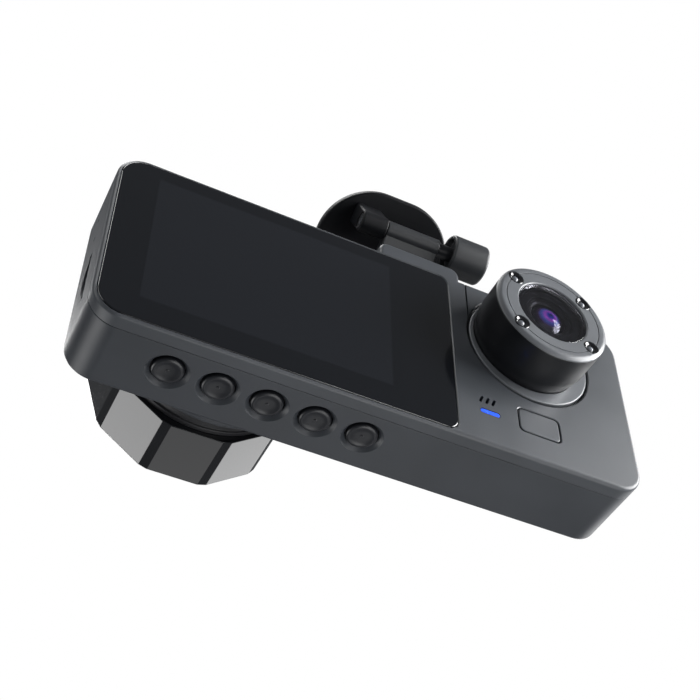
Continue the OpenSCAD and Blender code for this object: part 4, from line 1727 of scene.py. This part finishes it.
@dataclass
class Sockets:
    """The USB and rear-camera sockets on the top edge."""

    bench: Bench
    finishes: Finishes
    bore_radius: float = 1.27

    def usb(self) -> None:
        """The drawn steel sleeve and the tongue inside it."""
        bench = self.bench
        low, high = bench.box("usb_socket")
        x, y = (low.x + high.x) / 2, (low.y + high.y) / 2 - 0.02
        top = high.z
        sleeve = bench.rounded_block("usb_sleeve", (x - 4.47, y - 1.6, low.z), (x + 4.47, y + 1.6, top),
                                     Axis.Z, 1.58, 10)
        bench.soften_rim(sleeve, Axis.Z, top, 0.12, 2)
        room = bench.rounded_block(
            "room", (x - 4.17, y - 1.28, low.z + 0.9), (x + 4.17, y + 1.28, top - 0.15), Axis.Z, 1.26, 10)
        bench.combine(sleeve, Cut.TAKE, bench.flare(room, Axis.Z, top - 0.15, 0.12))
        bench.dress(sleeve, self.finishes.steel, "camera", "steel", ["usb_socket"])
        tongue = bench.rounded_block(
            "usb_tongue", (x - 3.35, y - 0.35, low.z + 0.8), (x + 3.35, y + 0.35, top - 1.1), Axis.Z, 0.2, 3)
        bench.soften_rim(tongue, Axis.Z, top - 1.1, 0.15, 2)
        bench.dress(tongue, self.finishes.black, "camera", "black_plastic")

    def jack(self) -> None:
        """The jack's moulded body and its plated ring."""
        bench = self.bench
        low, high = bench.box("rear_camera_jack")
        foot = Vector(((low.x + high.x) / 2, (low.y + high.y) / 2, high.z))
        case = bench.rounded_block(
            "jack_case", (low.x, low.y, low.z), (high.x, high.y, high.z - 1.3), Axis.Z, 0.3, 3)
        barrel = bench.rod("barrel", (foot.x, foot.y, high.z - 2.7), Axis.Z, 1.45, 2.3, 48)
        bore = bench.rod("bore", (foot.x, foot.y, high.z - 10.7), Axis.Z, self.bore_radius, 12, 40)
        bench.combine(case, Cut.ADD, barrel)
        bench.combine(case, Cut.TAKE, bore)
        bench.dress(case, self.finishes.black, "camera", "black_plastic", ["rear_camera_jack"])
        inner = self.bore_radius
        profile = curve((inner, -1.2, 0), (inner, -0.15, 0.08), (1.4, 0, 0.06), (1.6, 0, 0.06),
                        (1.7, -0.1, 0), (1.7, -1.2, 0), (inner, -1.2, 0))
        ring = bench.turned("jack_ring", foot, Axis.Z, profile, 48)
        bench.dress(ring, self.finishes.steel, "camera", "steel")

    def build(self) -> None:
        """Builds both sockets."""
        self.usb()
        self.jack()


@dataclass
class Bracket:
    """The windscreen plate and pad, the arm that drops to the body and the clamping knob."""

    bench: Bench
    finishes: Finishes
    rake: float = 25.0
    plate_corner: float = 12.0
    plate_thickness: float = 2.2
    plate_gap: float = 7.0
    plate_size: float = 30.0
    ear_radius: float = 2.32
    ear_span: tuple[float, float] = (-5.1, 0.7)
    arm_radius: float = 2.1
    arm_span: tuple[float, float] = (-17.6, -5.2)
    knob_end: float = -20.3
    knob_radius: float = 4.4
    bolt_radius: float = 1.05

    def __post_init__(self) -> None:
        """Reads the hinge's place from the frame."""
        low, high = self.bench.box("knob_insert")
        self.hinge = Vector((0, (low.y + high.y) / 2, (low.z + high.z) / 2))
        plate_low, plate_high = self.bench.box("windscreen_plate")
        self.x = (plate_low.x + plate_high.x) / 2

    def raked(self, piece: Piece) -> Piece:
        """Tips a piece drawn level about the hinge to the plate's rake.

        Args:
            piece: The piece, drawn level.

        Returns:
            The same piece.
        """
        about = Matrix.Translation(self.bench.metres(self.hinge))
        piece.matrix_world = about @ Matrix.Rotation(math.radians(self.rake), 4, "X") @ about.inverted()
        return self.bench.settle(piece)

    def sheet(self, name: str, size: float, corner: float, start: float, end: float, edge: float) -> Piece:
        """Raked plate with round corners between two heights above the hinge.

        Args:
            name: The new object's name.
            size: Length of its sides.
            corner: Radius of its corners.
            start: Height of its lower face above the hinge.
            end: Height of its upper face.
            edge: Rounding of its rims.

        Returns:
            The new object.
        """
        middle = 6 - self.plate_size / 2
        low = (self.x - size / 2, self.hinge.y + middle - size / 2, self.hinge.z + start)
        high = (self.x + size / 2, self.hinge.y + middle + size / 2, self.hinge.z + end)
        piece = self.bench.rounded_block(name, low, high, Axis.Z, corner, 20)
        self.bench.soften_rim(piece, Axis.Z, low[2], edge, 4)
        self.bench.soften_rim(piece, Axis.Z, high[2], edge, 4)
        return self.raked(piece)

    def plate(self) -> None:
        """The windscreen plate with its hinge ear, and the foam pad on it."""
        bench = self.bench
        top = self.plate_gap + self.plate_thickness
        plate = self.sheet("mount_plate", self.plate_size, self.plate_corner, self.plate_gap, top, 0.5)
        x0, x1 = self.ear_span
        foot = bench.block("foot", (x0, self.hinge.y - self.ear_radius, self.hinge.z),
                           (x1, self.hinge.y + self.ear_radius, self.hinge.z + self.plate_gap + 0.6))
        bench.soften(foot, lambda a, b: abs(a.z - b.z) > 1, 0.6, 3)
        self.raked(foot)
        ear = bench.rod("ear", (x0, self.hinge.y, self.hinge.z), Axis.X, self.ear_radius, x1 - x0, 64)
        bench.soften_rim(ear, Axis.X, x0, 0.25, 3)
        bench.soften_rim(ear, Axis.X, x1, 0.35, 3)
        bench.combine(plate, Cut.ADD, foot, ear)
        bore = bench.rod("bore", (x0 - 1, self.hinge.y, self.hinge.z), Axis.X, self.bolt_radius, 9, 40)
        seat = bench.rod("seat", (x1 - 1.6, self.hinge.y, self.hinge.z), Axis.X, 1.75, 3, 48)
        bench.combine(plate, Cut.TAKE, bore, seat)
        # The plate's near-black finish is painted shade.
        bench.dress(plate, self.finishes.plate, "windscreen_mount", "bracket_plastic", ["windscreen_plate"])
        pad = self.sheet("mount_pad", self.plate_size - 2, self.plate_corner - 1, top, top + 1.0, 0.18)
        bench.dress(pad, self.finishes.foam, "windscreen_mount", "foam", ["adhesive_pad"])

    def arm(self) -> Piece:
        """The arm with its hinge barrel, web, face plate and tongue.

        Returns:
            The finished piece.
        """
        bench = self.bench
        back = bench.box("bracket_arm")[1].y
        x0, x1 = self.arm_span
        face = -8.5
        tongue_z = 21.4
        y, z = self.hinge.y, self.hinge.z
        outline = [(y + 1.2, z - 1.2), (y - 1.2, z + 1.2), (face - 2.4, z - 9.2), (face - 2.4, tongue_z + 3),
                   (face, tongue_z + 3), (face, z - 10.2)]
        web = bench.prism("mount_arm", Axis.X, x0, x1, outline)
        bench.soften(web, lambda a, b: abs(a.x - b.x) > 1 and a.z < z - 5 and a.z > tongue_z + 4, 1.2, 5)
        bench.soften_rim(web, Axis.X, x0, 0.3, 3)
        bench.soften_rim(web, Axis.X, x1, 0.3, 3)
        barrel = bench.rod("barrel", (x0, y, z), Axis.X, self.arm_radius, x1 - x0, 64)
        bench.soften_rim(barrel, Axis.X, x0, 0.25, 3)
        bench.soften_rim(barrel, Axis.X, x1, 0.25, 3)
        plate = bench.rounded_block("plate", (self.x - 8.2, face - 2.4, tongue_z - 2.6),
                                    (self.x + 8.2, face, tongue_z + 3.8), Axis.Y, 1.6, 6)
        bench.soften_rim(plate, Axis.Y, face - 2.4, 0.4, 3)
        tongue = bench.rounded_block("tongue", (self.x - 7.3, face - 1, tongue_z - 1.6),
                                     (self.x + 7.3, back, tongue_z + 1.6), Axis.Y, 1.58, 8)
        bench.combine(web, Cut.ADD, barrel, plate, tongue)
        bore = bench.rod("bore", (x0 - 1, y, z), Axis.X, self.bolt_radius, x1 - x0 + 2, 40)
        bench.combine(web, Cut.TAKE, bore)
        return bench.dress(web, self.finishes.bracket, "arm", "bracket_plastic", ["bracket_arm"])

    def knob(self) -> Piece:
        """The clamping knob, with a dished outer end and a ring recess in its inner face.

        Returns:
            The finished piece.
        """
        low, high = self.bench.box("tilt_knob")
        length = self.knob_end - low.x
        neck = high.x - low.x
        profile = curve((0, 0.35, 0), (2.6, 0.3, 0.4), (3.3, 0, 0.3), (self.knob_radius, 0, 0.7),
                        (self.knob_radius, length, 0.45), (3.4, length, 0.15), (3.4, length - 1.2, 0.1),
                        (1.6, length - 1.2, 0.15), (1.6, neck, 0.1), (self.bolt_radius, neck, 0),
                        (self.bolt_radius, 1.6, 0), (0, 1.6, 0))
        foot = Vector((low.x, self.hinge.y, self.hinge.z))
        knob = self.bench.turned("clamp_knob", foot, Axis.X, profile, 96)
        return self.bench.dress(knob, self.finishes.bracket, "knob", "bracket_plastic", ["tilt_knob"])

    def build(self) -> None:
        """Builds every piece of the bracket."""
        self.plate()
        self.arm()
        self.knob()


class Interior:
    """Materials for the CAD nodes that stay as they are."""

    def __init__(self, frame: dict, finishes: Finishes) -> None:
        """Keeps the frame's nodes and the finishes.

        Args:
            frame: The loaded frame.
            finishes: The materials.
        """
        self.nodes = frame["nodes"]
        self.wanted = {
            "hinge_bolt": finishes.steel, "knob_insert": finishes.brass,
            "display_panel": finishes.panel, "main_board": finishes.board,
            "display_cable": finishes.flex, "heat_spreader": finishes.aluminium,
            "battery": finishes.wrap, "loudspeaker": finishes.cone, "housing_screws": finishes.steel,
            "swivel_clip": finishes.steel, "card_socket": finishes.steel,
            "microphone": finishes.steel, "reset_switch": finishes.ivory,
            "key_switches": finishes.steel, "power_switch": finishes.steel,
            "lens_stack": finishes.black, "lens_holder": finishes.black,
            "road_sensor_board": finishes.board, "cabin_sensor_board": finishes.board,
        }

    def build(self) -> None:
        """Gives each node its material."""
        for name, material in self.wanted.items():
            mesh = self.nodes[name].data
            mesh.materials.clear()
            mesh.materials.append(material)
            LOG.info("%s: CAD shape, finish %s", name, material.name)


# --- studio -----------------------------------------------------------------


@dataclass
class SoftBox:
    """One rectangular studio light, placed by its direction from the body."""

    name: str
    direction: tuple[float, float, float]
    distance: float
    width: float
    height: float
    watts: float
    aim: tuple[float, float, float] = (0.0, 0.0, 0.0)

    def build(self, bench: Bench) -> None:
        """Hangs the light so that it shines at its aim point.

        Args:
            bench: The bench, for turning places into metres.
        """
        data = bpy.data.lights.new(self.name, "AREA")
        data.shape = "RECTANGLE"
        data.size, data.size_y = self.width * MM, self.height * MM
        data.energy = self.watts
        lamp = bpy.data.objects.new(self.name, data)
        bpy.context.scene.collection.objects.link(lamp)
        way = Vector(self.direction).normalized()
        lamp.visible_camera = False
        lamp.location = bench.metres(Vector(self.aim) + way * self.distance)
        lamp.rotation_euler = (-way).to_track_quat("-Z", "Y").to_euler()


@dataclass
class Studio:
    """Pale floor, soft light and the camera."""

    bench: Bench
    eye: tuple[float, float, float] = (77.4, 152.2, -181.8)
    target: tuple[float, float, float] = (2.3, -1.5, 1.4)
    lens: float = 68.0
    floor: float = -330.0
    backdrop: float = 1.0
    fill: float = 0.125
    boxes: list[SoftBox] = field(default_factory=lambda: [
        SoftBox("rear_gradient", (-0.88, 0.43, 0.20), 520, 400, 420, 8.5),
        SoftBox("barrel_left", (0.60, -0.624, -0.50), 420, 220, 220, 0.5, (26, -22, 0)),
        SoftBox("barrel_right", (-0.80, -0.60, 0.05), 420, 190, 240, 0.26, (26, -22, 0)),
        SoftBox("barrel_middle", (-0.31, -0.60, -0.73), 400, 170, 170, 0.06, (26, -22, 0)),
        SoftBox("below_soft", (-0.38, 0.12, -0.92), 300, 260, 260, 0.55),
        SoftBox("lower_edge", (-0.32, 0.70, -0.61), 520, 90, 90, 0.30),
        SoftBox("screen_edge", (0.615, 0.314, 0.712), 520, 110, 110, 0.35),
        SoftBox("top_edge", (0.15, -0.10, 1.0), 520, 500, 200, 1.8),
        SoftBox("end_edge", (0.95, 0.25, 0.15), 480, 120, 420, 0.6),
        SoftBox("front_soft", (0.25, -0.85, 0.55), 620, 300, 240, 1.6),
    ])

    def world(self) -> None:
        """White behind the object and a dim grey room around it."""
        world = bpy.data.worlds.new("studio_room")
        bpy.context.scene.world = world
        world.use_nodes = True
        nodes, links = world.node_tree.nodes, world.node_tree.links
        seen, room = nodes["Background"], nodes.new("ShaderNodeBackground")
        seen.inputs["Color"].default_value = (1, 1, 1, 1)
        seen.inputs["Strength"].default_value = self.backdrop
        room.inputs["Color"].default_value = (0.93, 0.96, 1.0, 1)
        room.inputs["Strength"].default_value = self.fill
        path, mix = nodes.new("ShaderNodeLightPath"), nodes.new("ShaderNodeMixShader")
        links.new(path.outputs["Is Camera Ray"], mix.inputs["Fac"])
        links.new(room.outputs["Background"], mix.inputs[1])
        links.new(seen.outputs["Background"], mix.inputs[2])
        links.new(mix.outputs["Shader"], nodes["World Output"].inputs["Surface"])

    def floor_plane(self) -> None:
        """Plain pale floor well below the camera."""
        bpy.ops.object.select_all(action="DESELECT")
        bpy.ops.mesh.primitive_plane_add(size=60, location=self.bench.metres((0, 0, self.floor)))
        floor = self.bench.named("studio_floor")
        shader = Shader("floor_pale_matte")
        shader.feed("Base Color", shader.tint(
            shader.noise(60.0, 3.0), (0.055, 0.055, 0.056), (0.06, 0.06, 0.06)))
        shader.set(Roughness=0.9, Emission_Color=(0.97, 0.985, 1.0, 1.0), Emission_Strength=0.86,
                   Specular_IOR_Level=0.1)
        floor.data.materials.append(shader.material)
        floor.visible_diffuse = floor.visible_glossy = False

    def camera(self) -> None:
        """Camera below and behind the body, looking up at it."""
        data = bpy.data.cameras.new("studio_camera")
        data.lens = self.lens
        data.clip_start, data.clip_end = 0.01, 20
        camera = bpy.data.objects.new("studio_camera", data)
        bpy.context.scene.collection.objects.link(camera)
        camera.location = self.bench.metres(self.eye)
        way = self.bench.metres(self.target) - camera.location
        camera.rotation_euler = way.to_track_quat("-Z", "Y").to_euler()
        bpy.context.scene.camera = camera

    def build(self) -> None:
        """Sets up the room, floor, lights and camera."""
        bpy.context.scene.view_settings.view_transform = "Standard"
        self.world()
        self.floor_plane()
        self.camera()
        for box in self.boxes:
            box.build(self.bench)


def body_middle() -> Vector:
    """Middle of the camera body in the row frame, from the shells' own boxes.

    Returns:
        The point, in metres.
    """
    low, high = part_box("front_housing")
    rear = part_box("rear_cover")[1].y
    half_depth, half_height = 8.3 * MM, 21.5 * MM
    return Vector(((low.x + high.x) / 2, rear - half_depth, low.z + half_height))


def main() -> None:
    """Builds the whole scene."""
    logging.basicConfig(level=logging.INFO, format="%(name)s %(message)s")
    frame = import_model()
    bpy.ops.object.select_all(action="DESELECT")
    bench = Bench(body_middle())
    head_low, head_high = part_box("cabin_head")
    lens_low, lens_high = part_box("lens_barrel")
    display_low, display_high = bench.box("display_panel")
    active = (display_low + Vector((4.5, 0, 3.5)), display_high - Vector((2.0, 0, 1.5)))
    finishes = Finishes(bench, active, (head_low + head_high) / 2, (lens_low + lens_high) / 2)
    Studio(bench).build()
    for assembly in (Casing(bench, finishes), RoadLens(bench, finishes), CabinCamera(bench, finishes),
                     Controls(bench, finishes), Sockets(bench, finishes), Bracket(bench, finishes),
                     Interior(frame, finishes)):
        assembly.build()


if __name__ == "__main__":
    main()
